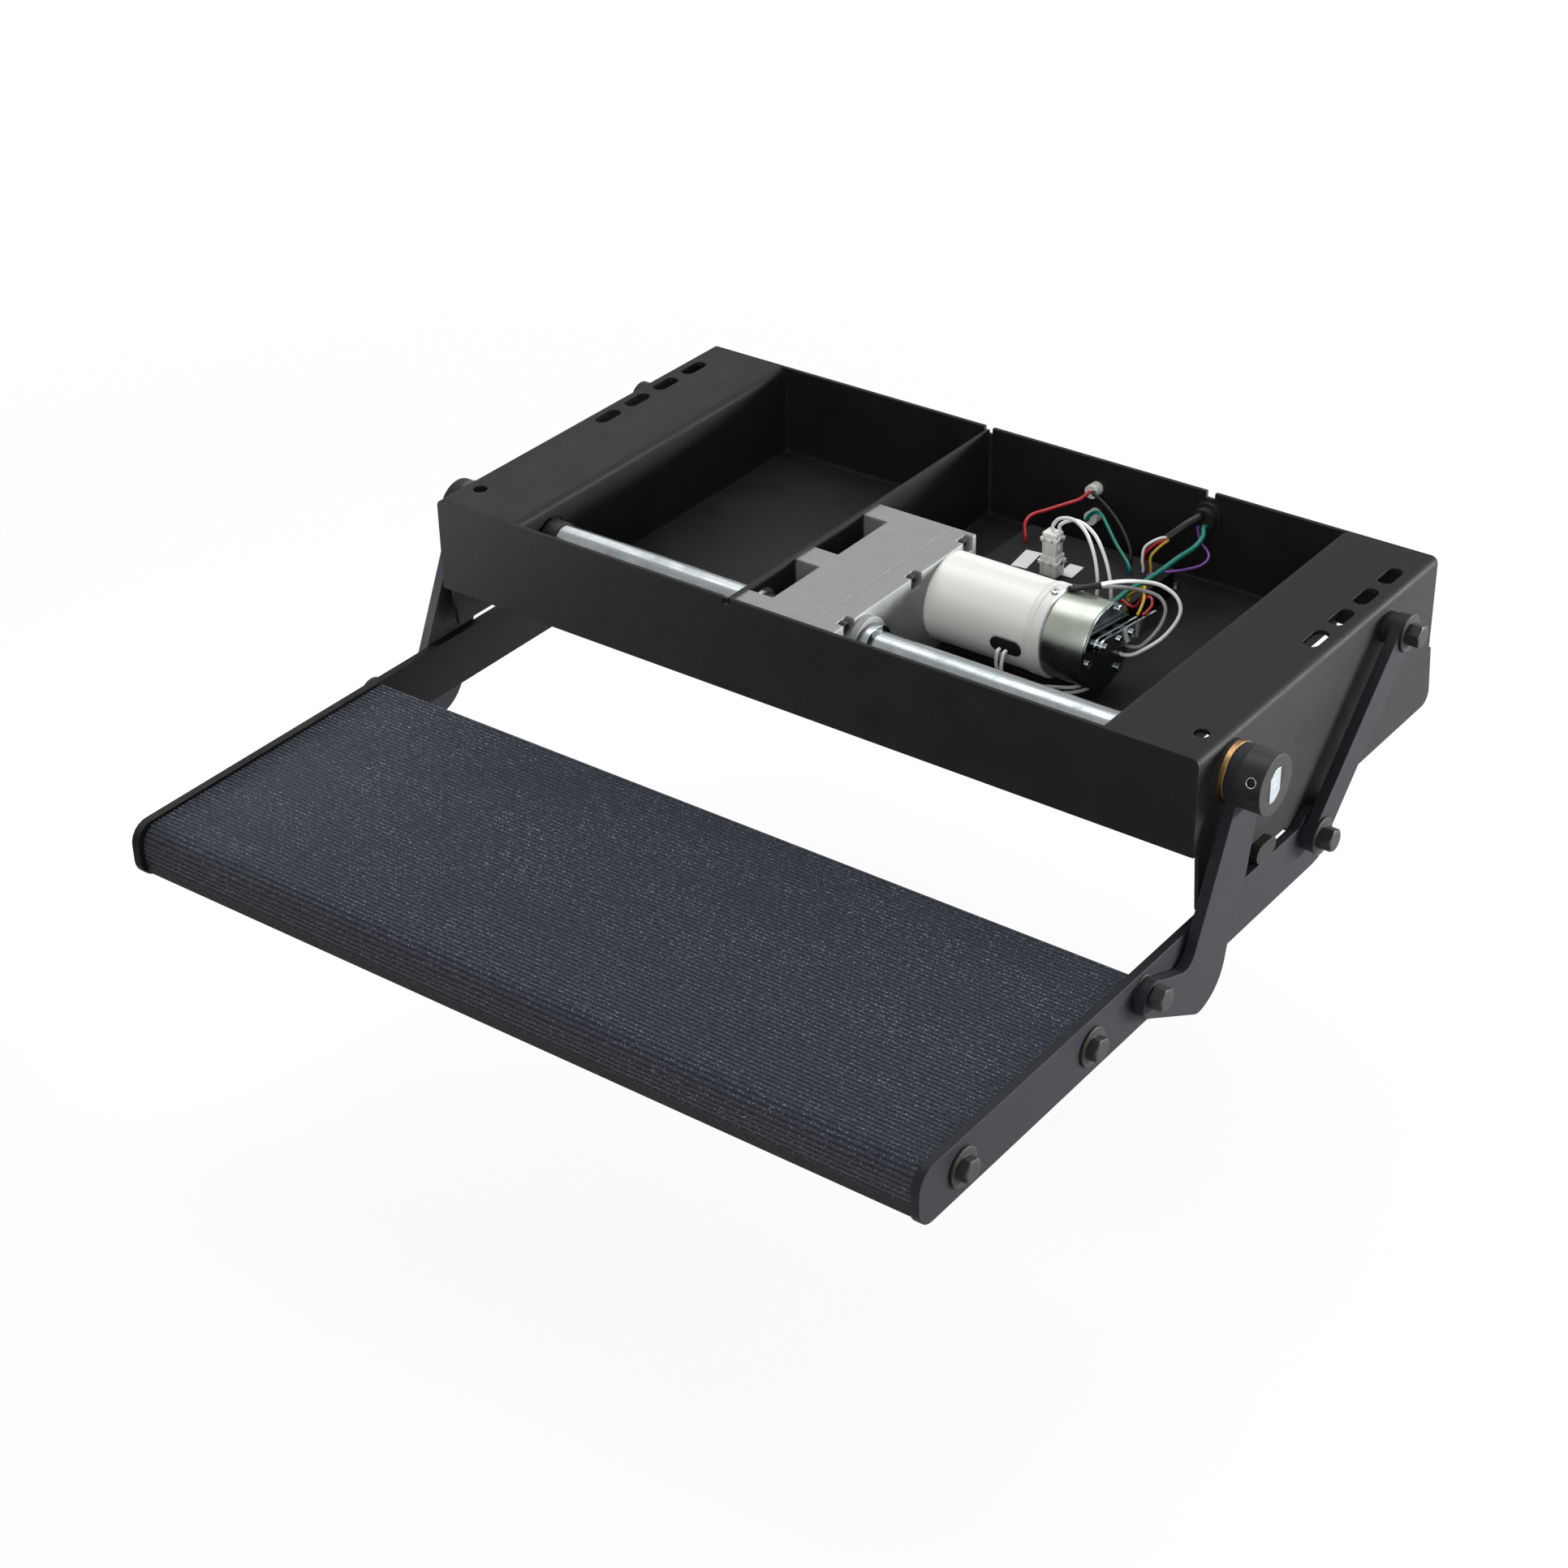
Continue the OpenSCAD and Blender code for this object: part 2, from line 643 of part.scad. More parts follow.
module stop_bumpers() color("#262624") both_sides() {
    pin([bumper_y, bumper_z], half_w - sheet, half_w, bumper_r / 2);
    hull() for (end = [-0.5, 0.5])
        pin([bumper_y + end * bumper_run, bumper_z], half_w, bumper_out, bumper_r);
}

// Gearbox
module train_space(gap) {
    translate(shaft_axis) circle(final_n[0] * final_m / 2 + tip * final_m + gap);
    translate(axis_two) circle(second_n[0] * second_m / 2 + tip * second_m + gap);
    translate(axis_one) circle(fast_n[0] * fast_m / 2 + tip * fast_m + gap);
    translate(motor_axis) circle(fast_n[0] * fast_m / 2 + tip * fast_m + gap);
}

module case_block(x0, x1) {
    translate([x0, case_front, floor_top]) cube([x1 - x0, case_back - case_front, case_top - floor_top]);
}

module cover_screw_bores(x0, x1) {
    for (y = cover_screw_y) pin([y, cover_screw_z], x0, x1, cover_screw_r + push_fit);
}

module gearbox_case() color("#8f9092") difference() {
    union() {
        case_block(case_x, seam_x);
        for (i = [0:2]) {
            y0 = i == 0 ? case_front : pocket_y[2 * i - 1];
            y1 = i == 2 ? case_back : pocket_y[2 * i];
            translate([lug_x, y0, floor_top]) cube([lug_l + 1, y1 - y0, case_top - floor_top]);
        }
    }
    across(case_x + case_wall, seam_x - case_x) train_space(gear_gap);
    pin(shaft_axis, lug_x - 1, seam_x + 1, shaft_r + shaft_hole_gap / 4);
    for (axis = [axis_one, axis_two, motor_axis]) pin(axis, case_x - 1, seam_x, pin_r + push_fit);
    cover_screw_bores(seam_x - pin_seat, seam_x + 1);
}

module gearbox_cover() color("#97989a") difference() {
    union() {
        case_block(seam_x, cover_x);
        pin(shaft_axis, cover_x, cover_x + shaft_boss_l, shaft_boss_r);
    }
    across(seam_x - 1, cavity_x - seam_x + 1) {
        translate(axis_one) circle(fast_n[0] * fast_m / 2 + tip * fast_m + gear_gap);
        translate(motor_axis) circle(fast_n[1] * fast_m / 2 + tip * fast_m + gear_gap);
    }
    pin(shaft_axis, seam_x - 1, cover_x + shaft_boss_l + 1, shaft_r + shaft_hole_gap / 4);
    for (axis = [axis_one, axis_two]) pin(axis, seam_x - 1, cavity_x + pin_seat, pin_r + push_fit);
    pin(motor_axis, seam_x, cover_x + 1, rotor_r + run_fit);
    cover_screw_bores(seam_x - 1, cover_x);
    for (y = cover_screw_y)
        translate([cover_x - screw_notch, y - screw_notch, cover_screw_z - screw_notch])
            cube([screw_notch + 1, 2 * screw_notch, 2 * screw_notch]);
}

module gearbox_screws() color("#3c3c3e") for (y = cover_screw_y) difference() {
    union() {
        pin([y, cover_screw_z], seam_x - pin_seat, cover_x - screw_notch, cover_screw_r);
        pin([y, cover_screw_z], cover_x - screw_notch, cover_x - screw_notch + 2 * cover_screw_r,
            cover_screw_head);
    }
    translate([cover_x - screw_notch + cover_screw_r, y, cover_screw_z]) rotate([0, 90, 0])
        cylinder(r = cover_screw_r, h = cover_screw_r + 1, $fn = 6);
}

module idler_pins() color("#b8babd") {
    pin(axis_one, case_x, cavity_x + pin_seat, pin_r);
    pin(axis_two, case_x, cavity_x + pin_seat, pin_r);
    pin(motor_axis, case_x, plane_2 + gear_face, pin_r);
}

module output_gear() color("#8a8d90") difference() {
    across(plane_5, final_face)
        gear_section(final_n[0], final_m, shaft_axis, final_turn + 180 / final_n[0]);
    pin(shaft_axis, plane_5 - 1, plane_5 + final_face + 1, shaft_r + push_fit);
}

module idler_one() color("#9a9da0")
    idler(axis_two, second_n[0], second_m, plane_4, second_turn,
        final_n[1], final_m, plane_5, final_turn + 180, final_face);
module idler_two() color("#9a9da0")
    idler(axis_one, fast_n[0], fast_m, plane_3, fast_turn,
        second_n[1], second_m, plane_4, second_turn + 180, gear_face);
module idler_three() color("#9a9da0")
    idler(motor_axis, fast_n[0], fast_m, plane_2, fast_turn + 180,
        fast_n[1], fast_m, plane_3, fast_turn + 180, gear_face);
module idler_four() color("#9a9da0")
    idler(axis_one, fast_n[0], fast_m, plane_1, fast_turn,
        fast_n[1], fast_m, plane_2, fast_turn, gear_face);

// Motor and brake
module motor_can() color("#e9e9e2") difference() {
    pin(motor_axis, cover_x, ring_x, motor_d / 2);
    pin(motor_axis, cover_x + can_wall, ring_x + 1, can_in);
    pin(motor_axis, cover_x - 1, cover_x + can_wall + 1, can_hole_r);
    lead_opening(can_in - 2, motor_d / 2 + 1, push_fit);
}

// Oval along a radius of the can at its lower front, between two radii
module lead_opening(r0, r1, gap) {
    half = (grommet_l - grommet_w) / 2;
    translate([cover_x + grommet_x, motor_axis[0], motor_axis[1]]) rotate([90 + grommet_turn, 0, 0])
        translate([0, 0, r0]) {
            for (end = [-half, half])
                translate([end, 0, 0]) cylinder(d = grommet_w + 2 * gap, h = r1 - r0);
            translate([-half, -grommet_w / 2 - gap, 0]) cube([2 * half, grommet_w + 2 * gap, r1 - r0]);
        }
}

module motor_grommet() color("#101011") intersection() {
    lead_opening(can_in - 2, motor_d / 2 + 2, 0);
    difference() {
        pin(motor_axis, cover_x, ring_x, motor_d / 2 + 0.8);
        pin(motor_axis, cover_x, ring_x, can_in);
    }
}

module motor_magnets() color("#4a4a4d") intersection() {
    difference() {
        pin(motor_axis, cover_x + can_wall + magnet_front, ring_x - magnet_rear, can_in - push_fit);
        pin(motor_axis, cover_x, ring_x, can_in - magnet_t);
    }
    for (up = [0.25, -1.25])
        translate([cover_x, motor_axis[0] - can_in * 0.8, motor_axis[1] + up * can_in])
            cube([motor_l, can_in * 1.6, can_in]);
}

module motor_end_ring() color("#e6e6e1") difference() {
    union() {
        pin(motor_axis, ring_x, brake_x, ring_d / 2);
        pin(motor_axis, ring_x - spigot_l, ring_x, can_in - push_fit);
    }
    pin(motor_axis, ring_x - spigot_l - 1, brake_x + 1, rotor_r + run_fit);
}

module brake_housing() color("#b9bbb8") difference() {
    pin(motor_axis, brake_x, end_x, brake_d / 2);
    pin(motor_axis, brake_x - 1, end_x + 1, brake_d / 2 - brake_wall);
}

module brake_coil() color("#5a3a22") difference() {
    pin(motor_axis, end_x - brake_l / 2, end_x, brake_d / 2 - brake_wall - push_fit);
    pin(motor_axis, end_x - brake_l / 2 - 1, end_x + 1, coil_bore_r);
}

function brake_screw_at(i) = motor_axis
    + brake_screw_ring * [cos(brake_screw_turn + 120 * i), sin(brake_screw_turn + 120 * i)];

module brake_end_plate() color("#8d9092") difference() {
    pin(motor_axis, end_x, end_x + end_plate_t, brake_d / 2);
    for (i = [0:2]) pin(brake_screw_at(i), end_x - 1, end_x + end_plate_t + 1,
        brake_thread_r + push_fit);
}

module brake_screws() color("#c5c8c8") for (i = [0:2]) difference() {
    union() {
        pin(brake_screw_at(i), end_x, plate_face, brake_thread_r);
        pin(brake_screw_at(i), plate_face, plate_face + brake_head_h, brake_head_r);
    }
    translate([plate_face + brake_head_h, brake_screw_at(i)[0], brake_screw_at(i)[1]])
        for (turn = [0, 90]) rotate([turn, 0, 0]) cube(brake_cross, center = true);
}

lever_at = motor_axis + lever_from;
lever_end = motor_axis + lever_to;
lever_turn = atan2(lever_end[1] - lever_at[1], lever_end[0] - lever_at[0]);
lever_len = norm(lever_end - lever_at);
lever_x = plate_face + lever_off;
lever_top = lever_x + 2 * lever_t + lever_off;

module lever_strip(x, length) {
    across(x, lever_t) translate(lever_at) rotate(lever_turn) {
        circle(lever_w / 2);
        translate([length, 0]) circle(lever_w / 2);
        translate([0, -lever_w / 2]) square([length, lever_w]);
    }
}

function rivet_at(i) = lever_at + rivet_step[i] * [cos(lever_turn), sin(lever_turn)];

module brake_lever() color("#a5a8a9") difference() {
    union() {
        lever_strip(lever_x, lever_len * lever_share);
        lever_strip(lever_x + lever_t + lever_off, lever_len);
    }
    for (i = [0:2]) pin(rivet_at(i), lever_x - 1, lever_top + 1, rivet_r + push_fit);
}

module lever_rivets() color("#c5c8c8") for (i = [0:2]) {
    pin(rivet_at(i), plate_face, lever_top, rivet_r);
    pin(rivet_at(i), plate_face, lever_x, rivet_spacer_r);
    pin(rivet_at(i), lever_x + lever_t, lever_x + lever_t + lever_off, rivet_spacer_r);
    pin(rivet_at(i), lever_top, lever_top + rivet_head[1], rivet_head[0]);
}

module rotor() color("#a0a3a6") {
    across(plane_1, gear_face) gear_section(fast_n[1], fast_m, motor_axis, fast_turn + 180);
    pin(motor_axis, plane_1, end_x - air_gap, rotor_r);
    pin(motor_axis, cover_x + can_wall + magnet_front, ring_x - magnet_rear, armature_r);
    pin(motor_axis, ring_x - magnet_rear, ring_x - spigot_l - air_gap, armature_r / 2);
    pin(motor_axis, brake_x + air_gap, end_x - brake_l / 2 - air_gap, brake_d / 2 - brake_wall - disc_gap);
}

// Drive shaft and front arms
module drive_shaft() color("#c3c7c8") {
    pin(shaft_axis, -arm_in, arm_in, shaft_r);
    across(-arm_out, arm_out + shaft_end) key_section();
}

module collar(x0, x1, r) {
    difference() {
        pin(shaft_axis, x0, x1, r);
        pin(shaft_axis, x0 - 1, x1 + 1, shaft_r + push_fit);
    }
}

module shaft_collar() color("#2a2a2c")
    collar(-tray_x + side_play, -tray_x + shaft_collar_l, shaft_r + shaft_collar_t);

module gearbox_collar() color("#b4b8ba") {
    face = cover_x + shaft_boss_l;
    collar(face + side_play, face + case_collar_l, shaft_r + case_collar_t);
}

// Hook-shaped outline of a front arm, from the shaft boss down to the foot
module front_arm_section() {
    translate(shaft_axis) circle(arm_eye_r);
    translate(front_foot + foot_mid) circle(foot_r);
    polygon(rounded(concat(
        [[shaft_axis[0] + arm_eye[0][0], shaft_axis[1] + arm_eye[0][1], 0]],
        [[front_foot[0] + arm_knee[0], front_foot[1] + arm_knee[1], arm_knee[2]]],
        [[front_foot[0] + foot_mid[0], front_foot[1] + foot_mid[1] + foot_r, 0]],
        [[front_foot[0] + foot_mid[0] - foot_r * 0.4, front_foot[1] + foot_mid[1] - foot_r * 0.9, 0]],
        [for (q = arm_heel) [front_foot[0] + q[0], front_foot[1] + q[1], q[2]]],
        [[shaft_axis[0] + arm_eye[1][0], shaft_axis[1] + arm_eye[1][1], 0]])));
}

// Hole of a pivot through an arm; the left ones are countersunk
module pivot_hole(at, sunk) {
    pin(at, arm_in - 1, arm_out + 1, shoulder_r + run_fit);
    if (sunk) sunk_head(at, run_fit);
}

// Cone of a countersunk head that ends flush with the outer face of an arm
module sunk_head(at, gap) {
    translate([arm_out - sink_h, at[0], at[1]]) rotate([0, 90, 0])
        cylinder(r1 = shoulder_r + gap, r2 = sink_r + gap, h = sink_h);
}

module front_arm(sunk) color("#2b2b2e") difference() {
    across(arm_in, arm_t) front_arm_section();
    across(arm_in - 1, arm_t + 2) key_section(push_fit);
    pivot_hole(front_foot, sunk);
}

module left_front_arm() on_side(true) front_arm(true);
module right_front_arm() on_side(false) front_arm(false);

// Hub of the right arm, with a set screw that points up and forward
module along_set_screw() {
    translate([arm_out + hub_l * set_screw_share, shaft_axis[0], shaft_axis[1]])
        rotate([90 - set_screw_turn, 0, 0]) children();
}

module arm_hub() color("#1e1e1f") difference() {
    pin(shaft_axis, arm_out, shaft_end, hub_d / 2);
    across(arm_out - 1, hub_l + 2) key_section(push_fit);
    along_set_screw() cylinder(d = set_screw_d + 2 * push_fit, h = hub_d);
}

module set_screw() color("#b9bcbc") along_set_screw() difference() {
    translate([0, 0, set_screw_in]) cylinder(d = set_screw_d, h = hub_d / 2 - set_screw_in - seat);
    translate([0, 0, hub_d / 2 - set_screw_d / 2])
        cylinder(d = set_screw_d * 0.6, h = set_screw_d, $fn = 6);
}

// Rear arms and their pivots
module rear_arm(sunk) color("#2b2b2e") difference() {
    across(arm_in, arm_t) translate(rear_pivot) rotate(link_angle)
        polygon([for (i = [0:48]) let (a = 90 + 360 * i / 48 - (i > 24 ? 7.5 : 0))
            [i > 24 ? norm(link) : 0, 0] + rear_arm_w / 2 * [cos(a), sin(a)]]);
    for (at = [rear_pivot, rear_foot]) pivot_hole(at, sunk);
}

module left_rear_arm() on_side(true) rear_arm(true);
module right_rear_arm() on_side(false) rear_arm(false);

// Shoulder bolt through an arm into a plate: hexagon head on the right, sometimes on a washer
module pivot_bolt(at, plate_in, plate_out, washer) {
    face = arm_out + side_play;
    pin(at, plate_in, plate_out, thread_r);
    pin(at, plate_out, face, shoulder_r);
    if (washer > 0) pin(at, face, face + washer, washer_r);
    hex_head(at, face + washer, hex_h);
}

// Shoulder bolt with the flush head of the left side
module flush_bolt(at, plate_in, plate_out) {
    pin(at, plate_in, plate_out, thread_r);
    pin(at, plate_out, arm_out - sink_h, shoulder_r);
    sunk_head(at, 0);
}

module rear_pivot_bolts() color("#2e2d2c") {
    on_side(false) pivot_bolt(rear_pivot, half_w - sheet, half_w, washer_t);
    on_side(true) flush_bolt(rear_pivot, half_w - sheet, half_w);
}

module rear_pivot_spacers() color("#262628") both_sides() difference() {
    pin(rear_pivot, half_w, arm_in - side_play, link_washer_r);
    pin(rear_pivot, half_w - 1, arm_in, shoulder_r + push_fit);
}

// Tread
function tread_point(s, off) = s < flat_len ? [back_y - s, crest_z + off] :
    s < flat_len + arc_len ? let (a = (s - flat_len) / nose_r * 180 / PI)
        [nose_y + nose_r - (nose_r + off) * sin(a), crest_z - nose_r + (nose_r + off) * cos(a)] :
    [nose_y - off, crest_z - nose_r - (s - flat_len - arc_len)];

module tread_section() {
    rib_sides = [[0.1, -rib_h], [0.3, 0], [0.7, 0], [0.9, -rib_h]];
    ribs = [for (i = [0:rib_n - 1]) for (r = rib_sides) tread_point((i + r[0]) * rib_pitch, r[1])];
    under = crest_z - rib_h - skin;
    difference() {
        polygon(concat([[back_y, crest_z - rib_h]], ribs, [[nose_y + rib_h, sole_z], [back_y, sole_z]]));
        polygon(rounded([
            [back_y - skin, under, 1], [nose_y + rib_h + skin, under, nose_r - skin],
            [nose_y + rib_h + skin, sole_z + skin, 1], [back_y - skin, sole_z + skin, 1]]));
        translate([nose_y + sole_lip, sole_z - 1]) square([tread_depth - 2 * sole_lip, skin + 2]);
    }
    for (y = tread_bolt_y) difference() {
        union() {
            translate([y, rail_mid]) circle(screw_boss_r);
            translate([y - skin / 2, rail_mid]) square([skin, under + skin / 2 - rail_mid]);
        }
        translate([y, rail_mid]) circle(thread_r + push_fit);
    }
}

module tread() color("#3a4048") across(-tread_end, 2 * tread_end) tread_section();

module rail_section() {
    front = front_y - tread_reach;
    back = rear_foot[0] + rail_tail;
    polygon(rounded([
        [front, rail_bottom, rail_nose_r], [back, rail_bottom, rail_heel_r],
        [back, rail_top, rail_tail_r], [front, rail_top, rail_nose_r]]));
    translate(rear_foot) circle(ear_r);
}

module rail() color("#2b2b2e") difference() {
    across(rail_in, rail_t) rail_section();
    for (y = tread_bolt_y) pin([y, rail_mid], rail_in - 1, rail_out + 1, thread_r + push_fit);
    for (at = [front_foot, rear_foot]) pin(at, rail_in - 1, rail_out + 1, thread_r + push_fit);
}

module left_rail() on_side(true) rail();
module right_rail() on_side(false) rail();

// Tread bolts with their washers, and the shoulder bolts of both pivots of each rail
module tread_fasteners() color("#2e2d2c") {
    both_sides() {
        for (y = tread_bolt_y) {
            pin([y, rail_mid], tread_end - tread_bolt_l, rail_out, thread_r);
            pin([y, rail_mid], rail_out, rail_out + washer_t, washer_r);
            hex_head([y, rail_mid], rail_out + washer_t, tread_hex_h);
        }
        for (at = [front_foot, rear_foot]) pin(at, rail_out, arm_in - side_play, link_washer_r);
    }
    on_side(false) {
        pivot_bolt(front_foot, rail_in, rail_out, 0);
        pivot_bolt(rear_foot, rail_in, rail_out, washer_t);
    }
    on_side(true) for (at = [front_foot, rear_foot]) flush_bolt(at, rail_in, rail_out);
}

// Control unit and wiring
module control_unit() color("#141415") {
    translate([unit_x, unit_y, floor_top]) linear_extrude(unit_h)
        polygon(rounded_box([unit_w, unit_d], unit_corner_r));
}

module connector_block(size, z0, z1) {
    translate([connector_at[0] - size[0] / 2, connector_at[1] - size[1] / 2, z0])
        linear_extrude(z1 - z0) polygon(rounded_box(size, connector_r));
}

module connector_socket() color("#d9dbd6") {
    connector_block(socket_size, unit_top, join_z);
    connector_block(socket_collar, socket_collar_z, socket_collar_z + collar_h);
}

module connector_plug() color("#dcdcd2") {
    connector_block(plug_size, join_z, plug_z);
    connector_block(plug_collar, plug_collar_z, plug_collar_z + collar_h);
}

// Stack of discs [radius, height] that stands forward from the inner face of the rear plate
module rear_stud(x, z, first, second, third = [0, 0]) {
    translate([x, rear_y - sheet, z]) rotate([90, 0, 0]) {
        cylinder(r = first[0], h = first[1]);
        translate([0, 0, first[1]]) cylinder(r = second[0], h = second[1]);
        if (third[1] > 0) translate([0, 0, first[1] + second[1]]) cylinder(r = third[0], h = third[1]);
    }
}

module wire_clips() color("#cfd2d0") for (z = clip_z)
    rear_stud(clip_x, z, clip_base, clip_neck, clip_head);

module harness_grommet() color("#101011")
    rear_stud(harness_at[0], harness_at[1], harness_flange, harness_nose);

module floor_screw() color("#b9bcbc") translate([screw_at[0], screw_at[1], floor_top]) {
    cylinder(r = screw_washer_r, h = screw_washer_t);
    translate([0, 0, screw_washer_t]) cylinder(r = screw_head_r, h = screw_head_h, $fn = 6);
}

module wire_set(routes, r) {
    for (route = routes) wire(route, r);
}

module connector_leads() color("#efefee") wire_set(connector_routes, wire_r);
module motor_leads() color("#efefee") wire_set(motor_routes, wire_r);
module brake_leads() color("#d9d9d9") wire_set(brake_routes, wire_r);
module red_wire() color("#c2242f") wire(red_route, wire_r);
module black_wire() color("#1a1a1a") wire(black_route, wire_r);
module green_wire() color("#0f7a66") wire(green_route, wire_r);
module earth_wire() color("#0f7a66") wire(earth_route, earth_r);
module purple_wire() color("#6d3f8f") wire(purple_route, fine_wire_r);
module sensor_leads() color("#c2242f") wire_set(sensor_routes, fine_wire_r);
module harness_sleeve() color("#161616") wire(sleeve_route, sleeve_r);

housing_pan();
left_channel();
right_channel();
divider_plate();
bearing_bosses();
shaft_bushes();
gearbox_case();
gearbox_cover();
gearbox_screws();
idler_pins();
motor_can();
motor_magnets();
motor_end_ring();
brake_housing();
brake_coil();
brake_end_plate();
brake_screws();
brake_lever();
lever_rivets();
motor_grommet();
stop_bumpers();
rear_pivot_bolts();
rear_pivot_spacers();
control_unit();
connector_socket();
connector_plug();
wire_clips();
harness_grommet();
floor_screw();
connector_leads();
motor_leads();
brake_leads();
red_wire();
black_wire();
green_wire();
earth_wire();
purple_wire();
sensor_leads();
harness_sleeve();
drive_shaft();
output_gear();
shaft_collar();
gearbox_collar();
left_front_arm();
right_front_arm();
arm_hub();
set_screw();
idler_one();
idler_two();
idler_three();
idler_four();
rotor();
left_rear_arm();
right_rear_arm();
tread();
left_rail();
right_rail();
tread_fasteners();
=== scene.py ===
# %% [markdown]
# # An electric entry step
# The step bolts under the floor of a caravan. A gear motor in a black sheet housing turns one long shaft,
# and the shaft swings a ribbed tread out on four arms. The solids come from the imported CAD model. This
# lesson gives them their finishes and replaces the pieces that need finer shapes: wires, bolts, the cup and the
# end ring of the motor, the set screw and the connector.

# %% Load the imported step
import math

import bmesh
import bpy
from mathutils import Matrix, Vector


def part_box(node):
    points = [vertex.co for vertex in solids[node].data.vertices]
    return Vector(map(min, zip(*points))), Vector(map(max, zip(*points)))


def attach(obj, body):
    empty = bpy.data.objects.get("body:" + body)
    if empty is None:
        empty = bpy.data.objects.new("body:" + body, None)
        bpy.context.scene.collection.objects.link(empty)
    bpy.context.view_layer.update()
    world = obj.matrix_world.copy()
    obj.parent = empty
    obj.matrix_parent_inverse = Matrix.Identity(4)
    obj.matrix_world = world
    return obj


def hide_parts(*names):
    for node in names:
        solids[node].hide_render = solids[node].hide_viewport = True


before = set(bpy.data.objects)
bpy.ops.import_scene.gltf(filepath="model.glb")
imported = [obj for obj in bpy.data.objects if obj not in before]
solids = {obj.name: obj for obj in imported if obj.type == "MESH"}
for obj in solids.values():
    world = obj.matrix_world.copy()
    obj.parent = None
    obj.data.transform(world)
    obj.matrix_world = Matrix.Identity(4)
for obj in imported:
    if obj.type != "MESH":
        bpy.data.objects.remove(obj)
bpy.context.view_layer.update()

# %% [markdown]
# ## The camera
# The photograph looks down on the right front corner of the step from about two metres. The place, the
# turn and the lens were worked out from the corners of the housing and the tread, so a long lens keeps the
# far edges nearly parallel to the near ones.

# %% Camera at the photograph's angle
camera_data = bpy.data.cameras.new("photo_camera")
camera_data.sensor_width = 36.0
camera_data.lens = 72.342
camera = bpy.data.objects.new("photo_camera", camera_data)
camera.location = (1.072589, -1.458776, 0.991635)
camera.rotation_euler = [math.radians(a) for a in (57.99700, 0.96728, 36.43834)]
bpy.context.collection.objects.link(camera)
bpy.context.scene.camera = camera
bpy.context.scene.view_settings.view_transform = "Standard"
print("camera stands", round(camera.location.length, 2), "m from the front holes")

# %% [markdown]
# ## The wires
# Each wire is held at both ends: in a clip, a connector, the motor or the control unit. A curve object with
# a round bevel is the plain way to make one, because its path stays easy to edit. The points repeat the
# routes of the CAD model, and a Catmull-Rom curve through them gives the soft bends of real insulation. The
# heat-shrink on the brake leads and three thin signal wires have no solid. The signal wires leave the end of the
# harness sleeve in small loops before they go down to the unit.

# %% Places that the wires are measured from
MM = 0.001
pan_low, pan_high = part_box("housing_pan")
unit_low, unit_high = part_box("control_unit")
front_y, rear_y = pan_low.y, pan_high.y
unit_y, unit_top = unit_low.y, unit_high.z / MM
plug_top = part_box("connector_plug")[1].z / MM


def from_front(points):
    """Points in mm, with y counted back from the front plate."""
    return [Vector((x * MM, front_y + y * MM, z * MM)) for x, y, z in points]


def from_unit(points):
    """Points in mm, with y counted back from the front of the control unit."""
    return [Vector((x * MM, unit_y + y * MM, z * MM)) for x, y, z in points]


def from_rear(points):
    """Points in mm, with y counted forward from the rear plate."""
    return [Vector((x * MM, rear_y - y * MM, z * MM)) for x, y, z in points]


print("control unit top at", round(unit_top, 2), "mm")

# %% Wire maker
WIRE_R, FINE_R, EARTH_R, SLEEVE_R = 1.3 * MM, 1.0 * MM, 1.9 * MM, 3.3 * MM
SHRINK_R = WIRE_R + 0.5 * MM


def smooth_path(points, steps=7):
    """Catmull-Rom curve through the points, with the ends repeated."""
    last = len(points) - 1
    path = []
    for i in range(last):
        a, b, c, d = (points[max(0, min(last, i + k))] for k in (-1, 0, 1, 2))
        for k in range(steps):
            t = k / steps
            path.append(0.5 * (2 * b + (c - a) * t + (2 * a - 5 * b + 4 * c - d) * t * t
                               + (3 * b - a - 3 * c + d) * t ** 3))
    return path + [points[last]]


def wire(name, routes, radius, node=None, body="housing"):
    """One piece of round wires, which stands for a CAD node if one is named."""
    curve = bpy.data.curves.new(name, "CURVE")
    curve.dimensions = "3D"
    curve.bevel_depth = 1.0
    curve.bevel_resolution = 4
    curve.use_fill_caps = True
    for route in routes:
        path = smooth_path(route)
        spline = curve.splines.new("POLY")
        spline.points.add(len(path) - 1)
        for point, place in zip(spline.points, path):
            point.co = (*place, 1.0)
            point.radius = radius
        spline.use_smooth = True
    piece = bpy.data.objects.new(name, curve)
    bpy.context.collection.objects.link(piece)
    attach(piece, body)
    if node:
        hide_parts(node)
    return piece


print("wire radii:", [round(r / MM, 1) for r in (WIRE_R, FINE_R, EARTH_R, SLEEVE_R, SHRINK_R)], "mm")

